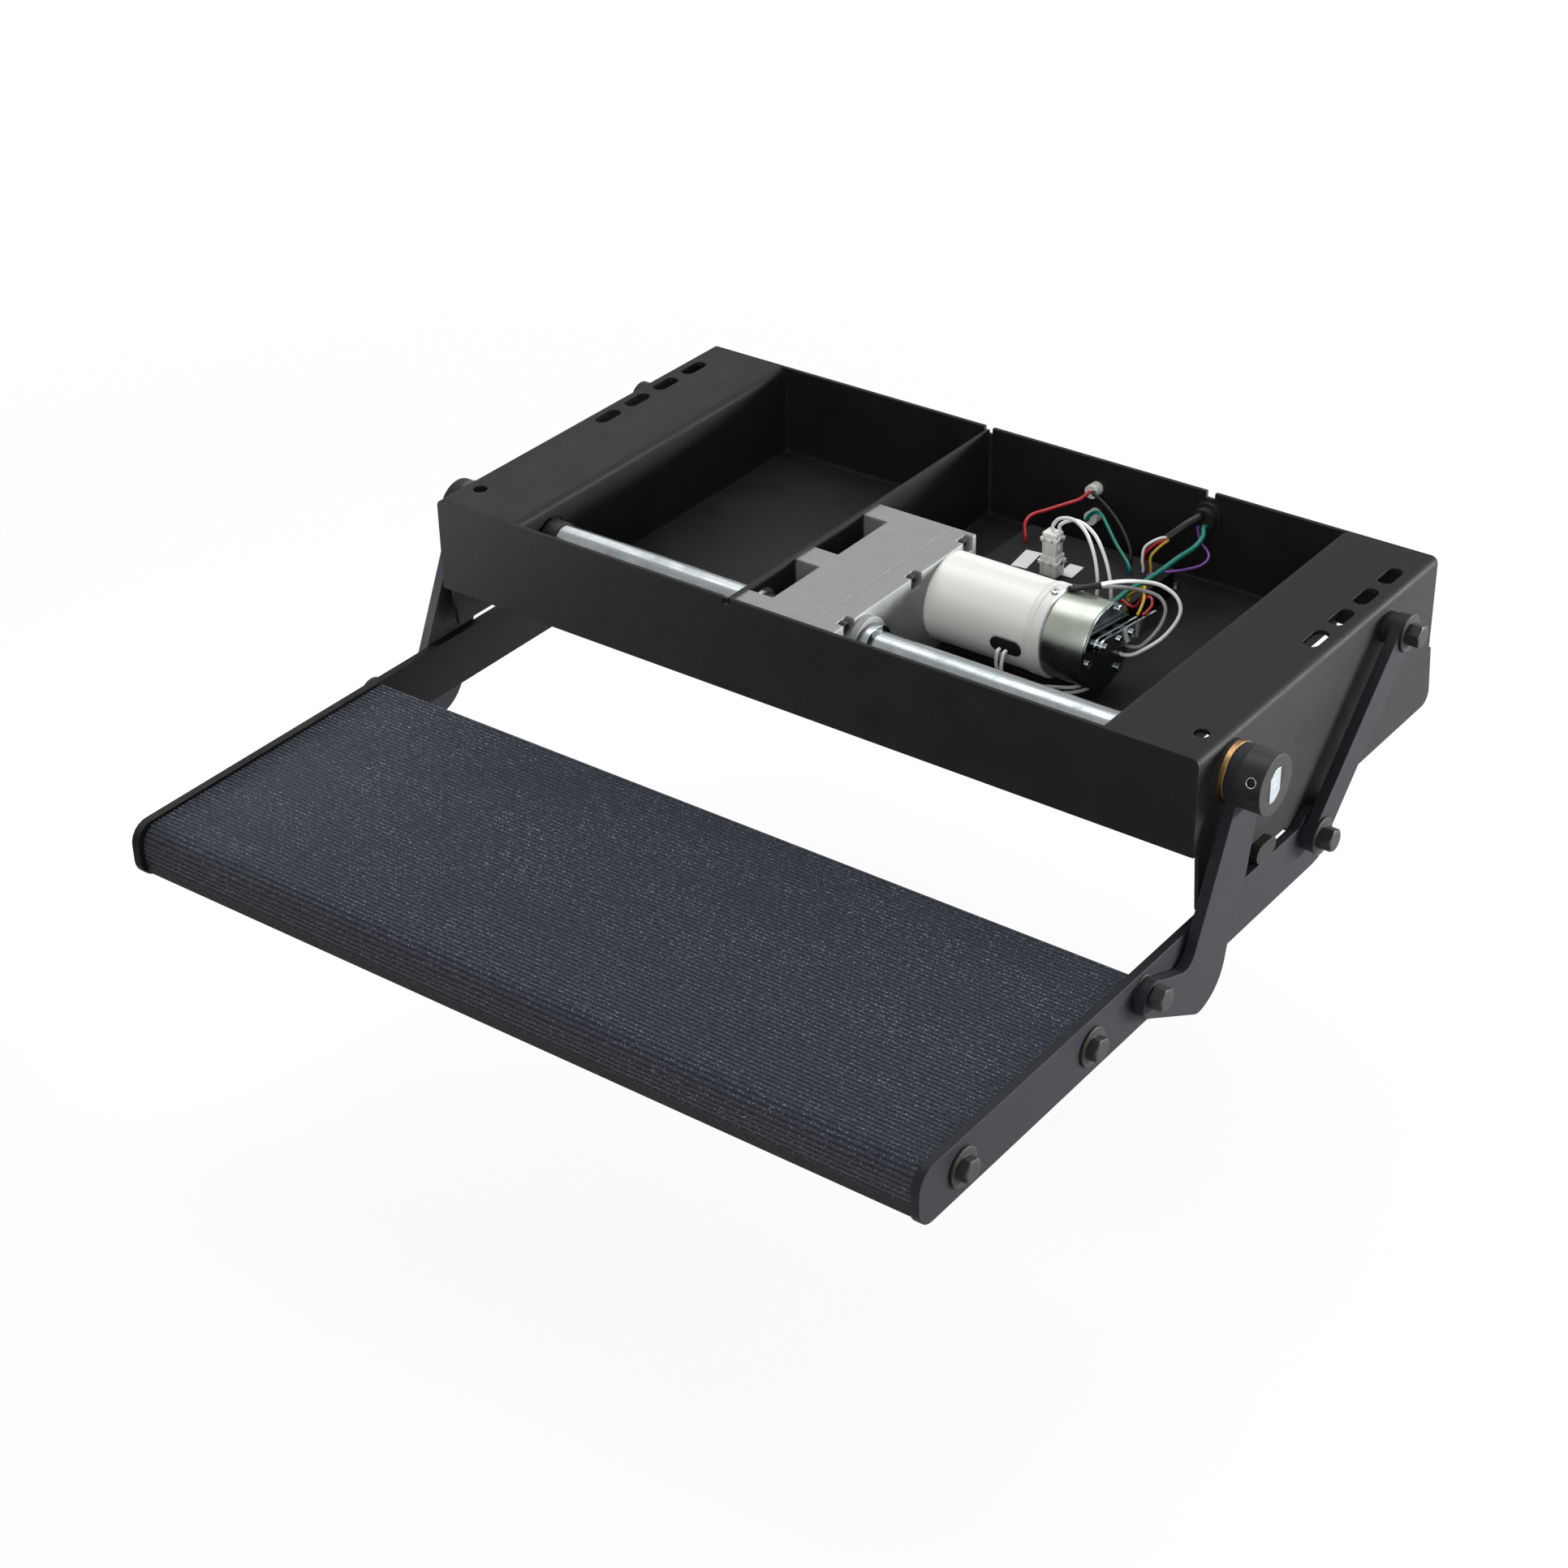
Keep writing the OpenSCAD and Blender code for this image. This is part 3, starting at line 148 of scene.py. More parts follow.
# %% Leads of the connector, the motor and the brake
connector_pair = wire("connector_pair", [
    from_unit([(57, 25, plug_top), (57, 25, -12), (62, 26, -6), (73, 26, -4), (86, 21, -8), (97, 14, -18),
               (104, 8, -31), (106, 5, -43), (106, 5, unit_top)]),
    from_unit([(61, 28, plug_top), (61, 28, -12), (69, 30, -7), (80, 28, -6), (93, 23, -10), (105, 16, -20),
               (113, 10, -32), (116, 7, -43), (116, 7, unit_top)])], WIRE_R, "connector_leads")
motor_pair = wire("motor_pair", [
    from_front([(94, 107, -41), (94, 104, -42), (94, 103, -51), (97, 104, -59), (104, 109, -65),
                (114, 117, -67), (126, 123, -67), (139, 132, -67), (142, 150, -67)])
    + from_unit([(136, -25, -67), (118, -9, -62), (112, -3, -60), (112, 0, -60)]),
    from_front([(99, 107, -41), (99, 104, -42), (100, 100, -52), (105, 101, -61), (114, 107, -66),
                (124, 114, -67), (135, 119, -67), (145, 131, -67), (148, 152, -67)])
    + from_unit([(142, -23, -67), (126, -8, -62), (119, -3, -60), (119, 0, -60)])], WIRE_R, "motor_leads")
brake_white_route = from_front([
    (121.5, 147, -4), (125, 147, -4), (135, 154, -2), (143, 166, -2), (153, 179, -4), (167, 187, -6),
    (180, 188, -12), (185, 184, -22), (179, 174, -36), (167, 162, -46), (160, 158, -48), (156, 158, -48)])
brake_grey_route = from_front([
    (121.5, 153, -5.5), (125, 153, -5.5), (135, 162, -6), (143, 174, -9), (152, 188, -15), (164, 192, -18),
    (172, 188, -24), (172, 180, -34), (166, 169, -44), (160, 165, -45), (156, 165, -45)])
brake_white = wire("brake_white", [brake_white_route], WIRE_R, "brake_leads")
brake_grey = wire("brake_grey", [brake_grey_route], WIRE_R)
print("lead pieces:", connector_pair.name, motor_pair.name, brake_white.name, brake_grey.name)

# %% Wires between the clips, the harness grommet and the control unit
red_wire = wire("red_supply", [
    from_rear([(41, 12, -22), (41, 14, -22), (37, 19, -26), (30, 25, -29)])
    + from_unit([(21, 76, -32), (14, 66, -34), (13, 59, -38), (16, 55, -45), (16, 55, unit_top)])],
    WIRE_R, "red_wire")
black_wire = wire("black_supply", [
    from_rear([(45, 12, -21), (45, 14, -21), (54, 17, -23), (66, 22, -27)])
    + from_unit([(80, 81, -33), (91, 73, -41), (94, 69, -46), (94, 69, unit_top)])], WIRE_R, "black_wire")
green_wire = wire("green_signal", [
    from_rear([(41, 12, -43), (41, 15, -43), (45, 16, -37), (51, 19, -32), (59, 24, -30)])
    + from_unit([(70, 78, -33), (83, 68, -38), (97, 59, -43), (101, 56, -46), (101, 56, unit_top)])],
    WIRE_R, "green_wire")
earth_wire = wire("earth", [
    from_rear([(136, 13, -21), (136, 16, -21), (139, 22, -25), (138, 32, -29), (135, 48, -31),
               (133, 66, -33)]) + from_unit([(132, 25, -33)])
    + from_front([(133, 206, -29), (137, 186, -25), (138, 175, -24), (138, 171, -24)])],
    EARTH_R, "earth_wire")
purple_wire = wire("purple_signal", [
    from_rear([(131, 13, -23), (131, 15, -23), (136, 19, -30), (147, 26, -35), (147, 37, -38)])
    + from_unit([(137, 63, -40), (122, 54, -43), (118, 51, -46), (118, 51, unit_top)])],
    FINE_R, "purple_wire")
sensor_red = wire("sensor_red", [
    from_unit([(121, 12, unit_top), (121, 12, -45), (138, 0, -40)])
    + from_front([(149, 197, -26), (157, 194, -22), (162, 187, -23), (162, 180, -25), (161, 177, -26)])],
    FINE_R, "sensor_leads")
sensor_yellow = wire("sensor_yellow", [
    from_unit([(122, 21, unit_top), (122, 21, -45), (140, 9, -28)])
    + from_front([(151, 195, -19), (158, 183, -18), (161, 174, -20), (161, 170, -23)])], FINE_R)
sleeve = wire("harness_wrap", [
    from_rear([(131, 13, -15), (131, 17, -15), (127, 25, -18)]) + from_unit([(119, 76, -26)])],
    SLEEVE_R, "harness_sleeve")
signal_white = wire("signal_white", [from_unit([
    (121, 78, -25), (114, 72, -26), (107, 66, -32), (107, 63, -41), (108, 63, -46), (108, 63, unit_top)])], FINE_R)
signal_yellow = wire("signal_yellow", [from_unit([
    (121, 77, -26), (116, 71, -31), (112, 66, -38), (113, 65, -46), (113, 65, unit_top)])], FINE_R)
signal_red = wire("signal_red", [from_unit([
    (121, 78, -27), (112, 75, -31), (105, 71, -39), (104, 71, -46), (104, 71, unit_top)])], FINE_R)
heat_shrink = wire("heat_shrink", [smooth_path(brake_white_route)[2:18], smooth_path(brake_grey_route)[2:16]],
                   SHRINK_R)

# %% [markdown]
# ## Floor, world and lamps
# A studio shot like this has a white sweep under the object and large soft boxes. The floor lies well below
# the step, as the ground does under a caravan. Camera rays see it white, but near the step the shadow is mixed in.
# The strongest box stands at the right rear, so the arms are the lightest black surfaces and their soft shadows
# fall forward on the side plate. A box near the camera fills the motor and the nose of the tread, and a small lamp
# at the left front gives the front plate its pale left end.

# %% Helpers for nodes
def add(tree, kind, settings=None, **values):
    """New node with its settings and the values of its sockets."""
    node = tree.nodes.new(kind)
    for key, value in (settings or {}).items():
        setattr(node, key, value)
    for key, value in values.items():
        node.inputs[key.replace("_", " ")].default_value = value
    return node


def math_node(tree, operation, a, b=None, clamp=False):
    """Result of a Math node whose inputs are numbers or sockets."""
    node = add(tree, "ShaderNodeMath", {"operation": operation, "use_clamp": clamp})
    for socket, value in zip(node.inputs, (a, b)):
        if isinstance(value, (int, float)):
            socket.default_value = value
        elif value is not None:
            tree.links.new(value, socket)
    return node.outputs[0]


def span(tree, value, low, high, to_low=0.0, to_high=1.0):
    """Value carried from one range to another and held inside it."""
    node = add(tree, "ShaderNodeMapRange", From_Min=low, From_Max=high, To_Min=to_low, To_Max=to_high)
    tree.links.new(value, node.inputs["Value"])
    return node.outputs["Result"]


def object_place(tree):
    """Place on the piece in metres, which stays with the piece when it moves."""
    return add(tree, "ShaderNodeTexCoord").outputs["Object"]


def seen_directly(tree):
    """Light Path value that is 1 for camera, glossy and transmission rays."""
    path = add(tree, "ShaderNodeLightPath")
    seen = math_node(tree, "MAXIMUM", path.outputs["Is Camera Ray"], path.outputs["Is Glossy Ray"])
    return math_node(tree, "MAXIMUM", seen, path.outputs["Is Transmission Ray"])


print("node helpers:", ", ".join(f.__name__ for f in (add, math_node, span, object_place, seen_directly)))

# %% White floor that keeps the shadow
FLOOR_Z, FLOOR_HALF = -0.36, 9.0
PAPER_GREY = (0.82, 0.82, 0.82, 1)
SHADOW_FULL, SHADOW_END = 0.7, 1.6
GLOW_NEAR, GLOW_FAR = 0.9, 1.0
floor_mesh = bpy.data.meshes.new("studio_floor")
floor_bm = bmesh.new()
bmesh.ops.create_grid(floor_bm, x_segments=1, y_segments=1, size=FLOOR_HALF)
floor_bm.to_mesh(floor_mesh)
floor_bm.free()
floor = bpy.data.objects.new("studio_floor", floor_mesh)
floor.location.z = FLOOR_Z
bpy.context.collection.objects.link(floor)

paper = bpy.data.materials.new("white_paper")
paper.use_nodes = True
paper_tree = paper.node_tree
paper_tree.nodes.clear()
paper_out = add(paper_tree, "ShaderNodeOutputMaterial")
paper_diffuse = add(paper_tree, "ShaderNodeBsdfDiffuse", Color=PAPER_GREY)
paper_glow = add(paper_tree, "ShaderNodeEmission")
paper_mix = add(paper_tree, "ShaderNodeMixShader")
paper_reach = add(paper_tree, "ShaderNodeVectorMath", {"operation": "LENGTH"})
paper_tree.links.new(object_place(paper_tree), paper_reach.inputs[0])
paper_fade = span(paper_tree, paper_reach.outputs["Value"], SHADOW_FULL, SHADOW_END, GLOW_NEAR, GLOW_FAR)
paper_share = math_node(paper_tree, "MULTIPLY", seen_directly(paper_tree), paper_fade)
for socket, source in zip(paper_mix.inputs, (paper_share, paper_diffuse.outputs[0], paper_glow.outputs[0])):
    paper_tree.links.new(source, socket)
paper_tree.links.new(paper_mix.outputs[0], paper_out.inputs[0])
floor_mesh.materials.append(paper)

# %% World and soft boxes
WORLD_FILL, WORLD_SEEN = 0.17, 1.0
world = bpy.data.worlds.new("studio")
world.use_nodes = True
bpy.context.scene.world = world
world_tree = world.node_tree
backdrop = world_tree.nodes["Background"]
world_tree.links.new(span(world_tree, seen_directly(world_tree), 0.0, 1.0, WORLD_FILL, WORLD_SEEN),
                     backdrop.inputs["Strength"])
backdrop.inputs["Color"].default_value = (1, 1, 1, 1)


def soft_box(name, stand, target, size, watts):
    """Rectangular lamp that stands at one point and looks at another."""
    data = bpy.data.lights.new(name, "AREA")
    data.shape = "RECTANGLE"
    data.size, data.size_y = size
    data.energy = watts
    lamp = bpy.data.objects.new(name, data)
    lamp.location = stand
    lamp.rotation_euler = (Vector(target) - Vector(stand)).to_track_quat("-Z", "Y").to_euler()
    bpy.context.collection.objects.link(lamp)


soft_box("right_box", (2.1, 1.5, 0.11), (0.25, 0.0, -0.08), (1.3, 0.26), 165)
soft_box("top_box", (-0.5, 0.6, 2.3), (0.0, -0.05, 0.0), (2.0, 1.6), 37)
soft_box("front_box", (1.0, -1.9, 1.15), (0.05, 0.0, -0.05), (1.2, 0.9), 18)
soft_box("left_back_box", (-1.7, 1.3, 1.5), (0.0, 0.0, 0.0), (1.2, 1.2), 8)
soft_box("front_left_box", (-0.64, -0.3, -0.075), (-0.5, 0.0, -0.06), (0.24, 0.05), 2.6)

# %% [markdown]
# ## Effects that several finishes share
# Powder coat, plating and castings differ in colour, but they share a few effects: a fine grain, edges that
# are rubbed brighter, dust that lies on upward faces and in corners, and streaks from drawing or turning. Each is a
# node group, built once, that puts out masks, heights and normals. The shader stays in each material.

# %% Helpers for node groups
FLOAT, VECTOR = "NodeSocketFloat", "NodeSocketVector"


def new_group(name, inputs, outputs):
    """Group with named sockets, and its input and output nodes."""
    tree = bpy.data.node_groups.new(name, "ShaderNodeTree")
    for label, kind, value in inputs:
        tree.interface.new_socket(label, in_out="INPUT", socket_type=kind).default_value = value
    for label, kind in outputs:
        tree.interface.new_socket(label, in_out="OUTPUT", socket_type=kind)
    return tree, tree.nodes.new("NodeGroupInput"), tree.nodes.new("NodeGroupOutput")


def facing(tree):
    """Direction in which the surface looks."""
    return add(tree, "ShaderNodeNewGeometry").outputs["Normal"]


def axes(tree, vector):
    """X, Y and Z of a vector."""
    node = add(tree, "ShaderNodeSeparateXYZ")
    tree.links.new(vector, node.inputs[0])
    return node.outputs


def noise(tree, spot, **values):
    """Noise texture, read at a place on the piece."""
    node = add(tree, "ShaderNodeTexNoise", **values)
    tree.links.new(spot, node.inputs["Vector"])
    return node


print("group helpers:", ", ".join(f.__name__ for f in (new_group, facing, axes, noise)))

# %% Group: grain of a sprayed or cast skin
MOTTLE_SHARE = 0.045
grain, grain_in, grain_out = new_group(
    "skin_grain", [("Scale", FLOAT, 700.0)], [("Height", FLOAT), ("Mottle", FLOAT)])
grain_place = object_place(grain)
grain_fine = noise(grain, grain_place, Detail=3.0, Roughness=0.6)
grain_wide = noise(grain, grain_place, Detail=4.0, Roughness=0.55)
grain.links.new(grain_in.outputs["Scale"], grain_fine.inputs["Scale"])
grain.links.new(math_node(grain, "MULTIPLY", grain_in.outputs["Scale"], MOTTLE_SHARE), grain_wide.inputs["Scale"])
grain.links.new(grain_fine.outputs["Fac"], grain_out.inputs["Height"])
grain.links.new(span(grain, grain_wide.outputs["Fac"], 0.3, 0.7), grain_out.inputs["Mottle"])
print("group", grain.name, "has", len(grain.nodes), "nodes")

# %% Group: rubbed edges
edges, edges_in, edges_out = new_group(
    "rubbed_edges", [("Radius", FLOAT, 0.001), ("Amount", FLOAT, 1.0)],
    [("Mask", FLOAT), ("Round Normal", VECTOR)])
edges_bevel = add(edges, "ShaderNodeBevel", {"samples": 6})
edges_dot = add(edges, "ShaderNodeVectorMath", {"operation": "DOT_PRODUCT"})
edges_patch = noise(edges, object_place(edges), Scale=160.0, Detail=4.0)
edges.links.new(edges_in.outputs["Radius"], edges_bevel.inputs["Radius"])
edges.links.new(edges_bevel.outputs["Normal"], edges_dot.inputs[0])
edges.links.new(facing(edges), edges_dot.inputs[1])
edges_bend = span(edges, edges_dot.outputs["Value"], 0.995, 0.8)
edges_broken = math_node(edges, "MULTIPLY", edges_bend, span(edges, edges_patch.outputs["Fac"], 0.35, 0.65))
edges.links.new(math_node(edges, "MULTIPLY", edges_broken, edges_in.outputs["Amount"], True),
                edges_out.inputs["Mask"])
edges.links.new(edges_bevel.outputs["Normal"], edges_out.inputs["Round Normal"])
print("group", edges.name, "has", len(edges.nodes), "nodes")

# %% Group: settled dust
CORNER_REACH = 0.007
dust, dust_in, dust_out = new_group(
    "settled_dust", [("Amount", FLOAT, 0.3), ("Corners", FLOAT, 0.0)], [("Mask", FLOAT), ("Corner", FLOAT)])
dust_cloud = noise(dust, object_place(dust), Scale=14.0, Detail=8.0, Roughness=0.7).outputs["Fac"]
dust_up = span(dust, axes(dust, facing(dust))["Z"], 0.5, 1.0)
dust_spread = math_node(dust, "MULTIPLY", dust_up, span(dust, dust_cloud, 0.42, 0.75))
dust_hollow = add(dust, "ShaderNodeAmbientOcclusion", {"samples": 8, "only_local": False}, Distance=CORNER_REACH)
dust_line = math_node(dust, "MULTIPLY", span(dust, dust_hollow.outputs["AO"], 0.7, 0.35),
                      span(dust, dust_cloud, 0.3, 0.6))
for layer, amount, result in ((dust_spread, "Amount", "Mask"), (dust_line, "Corners", "Corner")):
    dust.links.new(math_node(dust, "MULTIPLY", layer, dust_in.outputs[amount], True), dust_out.inputs[result])
print("group", dust.name, "has", len(dust.nodes), "nodes")

# %% Group: streaks along the shaft direction
streaks, streaks_in, streaks_out = new_group(
    "drawn_streaks", [("Along", FLOAT, 6.0), ("Across", FLOAT, 400.0)], [("Streak", FLOAT), ("Blotch", FLOAT)])
streaks_place = object_place(streaks)
streaks_scale = add(streaks, "ShaderNodeCombineXYZ")
for source, axis in (("Along", "X"), ("Across", "Y"), ("Across", "Z")):
    streaks.links.new(streaks_in.outputs[source], streaks_scale.inputs[axis])
streaks_stretch = add(streaks, "ShaderNodeVectorMath", {"operation": "MULTIPLY"})
streaks.links.new(streaks_place, streaks_stretch.inputs[0])
streaks.links.new(streaks_scale.outputs[0], streaks_stretch.inputs[1])
streaks_fine = noise(streaks, streaks_stretch.outputs[0], Scale=1.0, Detail=5.0, Roughness=0.65)
streaks_wide = noise(streaks, streaks_place, Scale=55.0, Detail=6.0, Roughness=0.6)
streaks.links.new(span(streaks, streaks_fine.outputs["Fac"], 0.25, 0.75), streaks_out.inputs["Streak"])
streaks.links.new(span(streaks, streaks_wide.outputs["Fac"], 0.35, 0.65), streaks_out.inputs["Blotch"])
print("group", streaks.name, "has", len(streaks.nodes), "nodes")

# %% [markdown]
# ## Powder-coated sheet
# Almost everything large on the step is sheet or plate with a satin black powder coat. Up close the coat has
# an orange-peel surface, it is a little greyer where it is thin over cut edges, and dust shows on it. One
# maker function lays the same layers with other values for the housing, the arms and the bolts. The left rail gets
# the darkest coat, a darker copy of the arm coat: painted shade that keeps its inner face nearly black. Its extra
# dust on upward faces is partly dust and partly a painted highlight on its top edge.

# %% Helpers for materials
def new_material(name):
    """Material, its node tree and its Principled shader."""
    material = bpy.data.materials.new(name)
    material.use_nodes = True
    return material, material.node_tree, material.node_tree.nodes["Principled BSDF"]


def place(tree, group, **values):
    """Shared group put in a material with its own values."""
    node = tree.nodes.new("ShaderNodeGroup")
    node.node_tree = group
    for key, value in values.items():
        node.inputs[key].default_value = value
    return node


def blend_colours(tree, mask, first, second):
    """Mix by a mask of two colours, each a tuple or a socket."""
    node = tree.nodes.new("ShaderNodeMix")
    node.data_type = "RGBA"
    tree.links.new(mask, node.inputs["Factor"])
    for socket, value in ((node.inputs[6], first), (node.inputs[7], second)):
        if isinstance(value, tuple):
            socket.default_value = (*value, 1.0)
        else:
            tree.links.new(value, socket)
    return node.outputs[2]


def bump(tree, height, depth, normal=None):
    """Normal of a surface with a height on it, over another normal if one is given."""
    node = tree.nodes.new("ShaderNodeBump")
    node.inputs["Strength"].default_value = 1.0
    node.inputs["Distance"].default_value = depth
    tree.links.new(height, node.inputs["Height"])
    if normal is not None:
        tree.links.new(normal, node.inputs["Normal"])
    return node.outputs["Normal"]


def connect(tree, shader, tone, roughness, normal):
    """Links of the three sockets that change over the surface."""
    for label, socket in (("Base Color", tone), ("Roughness", roughness), ("Normal", normal)):
        tree.links.new(socket, shader.inputs[label])


def finish(material, *names):
    """Material on solids, in place of the one they came with."""
    for name in names:
        mesh = solids[name].data
        mesh.materials.clear()
        mesh.materials.append(material)


print("material helpers:", ", ".join(f.__name__ for f in (new_material, place, blend_colours, bump, connect, finish)))

# %% Maker of a sprayed coat
COAT_EDGE, COAT_LIGHTER, COAT_ROUGHER = 0.0012, 1.25, 0.12
BROWNER = (1.0, 0.8, 0.5)


def sprayed_coat(name, colour, thin, roughness, gloss, peel=0.00012, scale=620.0, rub=0.5, dusty=0.12,
                 dust_colour=(0.16, 0.15, 0.13), corners=0.0):
    """Dark coat with an orange-peel skin, a lighter tone where it is thin, and dust."""
    material, tree, shader = new_material(name)
    skin = place(tree, grain, Scale=scale)
    rubbed = place(tree, edges, Radius=COAT_EDGE, Amount=rub)
    dirt = place(tree, dust, Amount=dusty, Corners=corners)
    tone = blend_colours(tree, skin.outputs["Mottle"], colour, tuple(c * COAT_LIGHTER for c in colour))
    tone = blend_colours(tree, rubbed.outputs["Mask"], tone, thin)
    tone = blend_colours(tree, dirt.outputs["Mask"], tone, dust_colour)
    if corners:
        brown = tuple(c * k for c, k in zip(dust_colour, BROWNER))
        tone = blend_colours(tree, dirt.outputs["Corner"], tone, brown)
    connect(tree, shader, tone, span(tree, skin.outputs["Mottle"], 0.0, 1.0, roughness, roughness + COAT_ROUGHER),
            bump(tree, skin.outputs["Height"], peel, rubbed.outputs["Round Normal"]))
    shader.inputs["Specular IOR Level"].default_value = gloss
    return material


housing_coat = sprayed_coat("housing_powder_coat", (0.012, 0.0117, 0.0127), (0.07, 0.068, 0.066), 0.5, 0.1,
                            rub=0.2, dusty=0.035, dust_colour=(0.1, 0.09, 0.075), corners=0.6)
arm_coat = sprayed_coat("arm_powder_coat", (0.0108, 0.0122, 0.015), (0.045, 0.045, 0.048), 0.48, 0.12, dusty=0.03)
# Painted shade: the left rail's coat is darker than the arm coat, and its extra dust is partly a painted highlight on
# its top.
painted_shade_rail_coat = sprayed_coat("left_rail_painted_shade", (0.006, 0.0061, 0.007), (0.03, 0.03, 0.032), 0.5, 0.06, dusty=0.25)
hub_coat = sprayed_coat("hub_black_oxide", (0.013, 0.0125, 0.012), (0.09, 0.088, 0.085), 0.38, 0.18, 0.00005, 900.0)
bolt_coat = sprayed_coat("bolt_black_oxide", (0.015, 0.0145, 0.014), (0.09, 0.083, 0.075), 0.4, 0.2, 0.00006, 800.0)
print("coats:", ", ".join(m.name for m in (housing_coat, arm_coat, painted_shade_rail_coat, hub_coat, bolt_coat)))

# %% Coats on the housing, the arms and the rails
finish(housing_coat, "housing_pan", "left_channel", "right_channel", "divider_plate", "bearing_bosses")
finish(arm_coat, "left_front_arm", "right_front_arm", "left_rear_arm", "right_rear_arm", "right_rail",
       "rear_pivot_spacers")
finish(painted_shade_rail_coat, "left_rail")
finish(hub_coat, "arm_hub")
finish(bolt_coat, "gearbox_screws", "shaft_collar")
COATS = {m.name for m in (housing_coat, arm_coat, painted_shade_rail_coat, hub_coat, bolt_coat)}
print("coated solids:", sum(any(m and m.name in COATS for m in o.data.materials) for o in solids.values()))

# %% [markdown]
# ## Bare and plated metal
# The shaft is drawn bar with bright zinc, so its highlights run along it in broken streaks. The brake cup is
# zinc-plated sheet with a faint yellow-green tint. The gearbox is die-cast, which leaves a fine even grain and
# soft corners. The plated pieces are fully metallic and mirror the white room, so their colours are mid grey, and
# only the lamps' streaks turn white on them. A sawn shaft end is paler, because it is rough all over. The right bush
# shows clean bronze, and the left one is black with old grease. Black runs over the sides of the sawn ends, so
# only the strip between the key flats is bright.

# %% Maker of a plated metal
SAWN_STRIP = (0.0059, 0.0063)
END_FACING = (0.85, 0.97)
OLD_BLACK = (0.016, 0.016, 0.016)
shaft_y = [vert.co.y for vert in solids["drive_shaft"].data.vertices]
axle_y = (min(shaft_y) + max(shaft_y)) / 2


def plated(name, colour, tarnish, smooth, rough, along, across, ridge, sawn=None):
    """Metal with streaks and blotches of tarnish, and a pale sawn end if its colour is given."""
    material, tree, shader = new_material(name)
    drawn = place(tree, streaks, Along=along, Across=across)
    rubbed = place(tree, edges, Radius=0.0006, Amount=0.4)
    tone = blend_colours(tree, drawn.outputs["Blotch"], colour, tarnish)
    if sawn:
        from_axle = math_node(tree, "SUBTRACT", axes(tree, object_place(tree))["Y"], axle_y)
        pale = blend_colours(tree, span(tree, math_node(tree, "ABSOLUTE", from_axle), *SAWN_STRIP), sawn, OLD_BLACK)
        sideways = math_node(tree, "ABSOLUTE", axes(tree, facing(tree))["X"])
        tone = blend_colours(tree, span(tree, sideways, *END_FACING), tone, pale)
    patchy = math_node(tree, "MULTIPLY", drawn.outputs["Streak"], drawn.outputs["Blotch"])
    connect(tree, shader, tone, span(tree, patchy, 0.0, 0.6, smooth, rough),
            bump(tree, drawn.outputs["Streak"], ridge, rubbed.outputs["Round Normal"]))
    shader.inputs["Metallic"].default_value = 1.0
    return material


print("bright strip on a sawn end:", round(2 * SAWN_STRIP[0] / MM, 1), "mm wide")

# %% Plated and machined metals
shaft_zinc = plated("shaft_zinc", (0.29, 0.31, 0.315), (0.2, 0.22, 0.23), 0.15, 0.36, 9.0, 420.0, 0.00002,
                    sawn=(0.62, 0.7, 0.72))
screw_zinc = plated("screw_zinc", (0.5, 0.53, 0.55), (0.3, 0.33, 0.34), 0.12, 0.28, 300.0, 300.0, 0.00001)
cup_zinc = plated("cup_zinc", (0.31, 0.33, 0.29), (0.25, 0.27, 0.235), 0.26, 0.36, 500.0, 8.0, 0.000002)
plate_zinc = plated("polished_zinc", (0.24, 0.27, 0.28), (0.17, 0.195, 0.2), 0.16, 0.24, 40.0, 160.0, 0.000004)
gear_steel = plated("gear_steel", (0.5, 0.5, 0.5), (0.36, 0.36, 0.37), 0.25, 0.4, 200.0, 200.0, 0.00001)
finish(shaft_zinc, "drive_shaft", "gearbox_collar")
finish(screw_zinc, "brake_screws", "lever_rivets", "floor_screw", "brake_lever")
finish(cup_zinc, "brake_housing")
finish(plate_zinc, "brake_end_plate")
finish(gear_steel, "idler_pins", "idler_one", "idler_two", "idler_three", "idler_four", "output_gear", "rotor",
       "motor_magnets")
print("metals:", ", ".join(m.name for m in (shaft_zinc, screw_zinc, cup_zinc, plate_zinc, gear_steel)))

# %% Bronze bush, clean on the right and greasy on the left
OLD_GREASE = (0.02, 0.018, 0.016)
CLEAN_X, GREASY_X = 0.05, -0.05
bush_bronze = plated("bush_bronze", (0.36, 0.21, 0.09), (0.2, 0.115, 0.05), 0.24, 0.42, 60.0, 60.0, 0.00001)
bronze_tree = bush_bronze.node_tree
bronze_colour = bronze_tree.nodes["Principled BSDF"].inputs["Base Color"]
bronze_clean = bronze_colour.links[0].from_socket
bronze_side = span(bronze_tree, axes(bronze_tree, object_place(bronze_tree))["X"], CLEAN_X, GREASY_X)
bronze_tree.links.new(blend_colours(bronze_tree, bronze_side, bronze_clean, OLD_GREASE), bronze_colour)
finish(bush_bronze, "shaft_bushes")
print("bronze nodes:", len(bronze_tree.nodes))

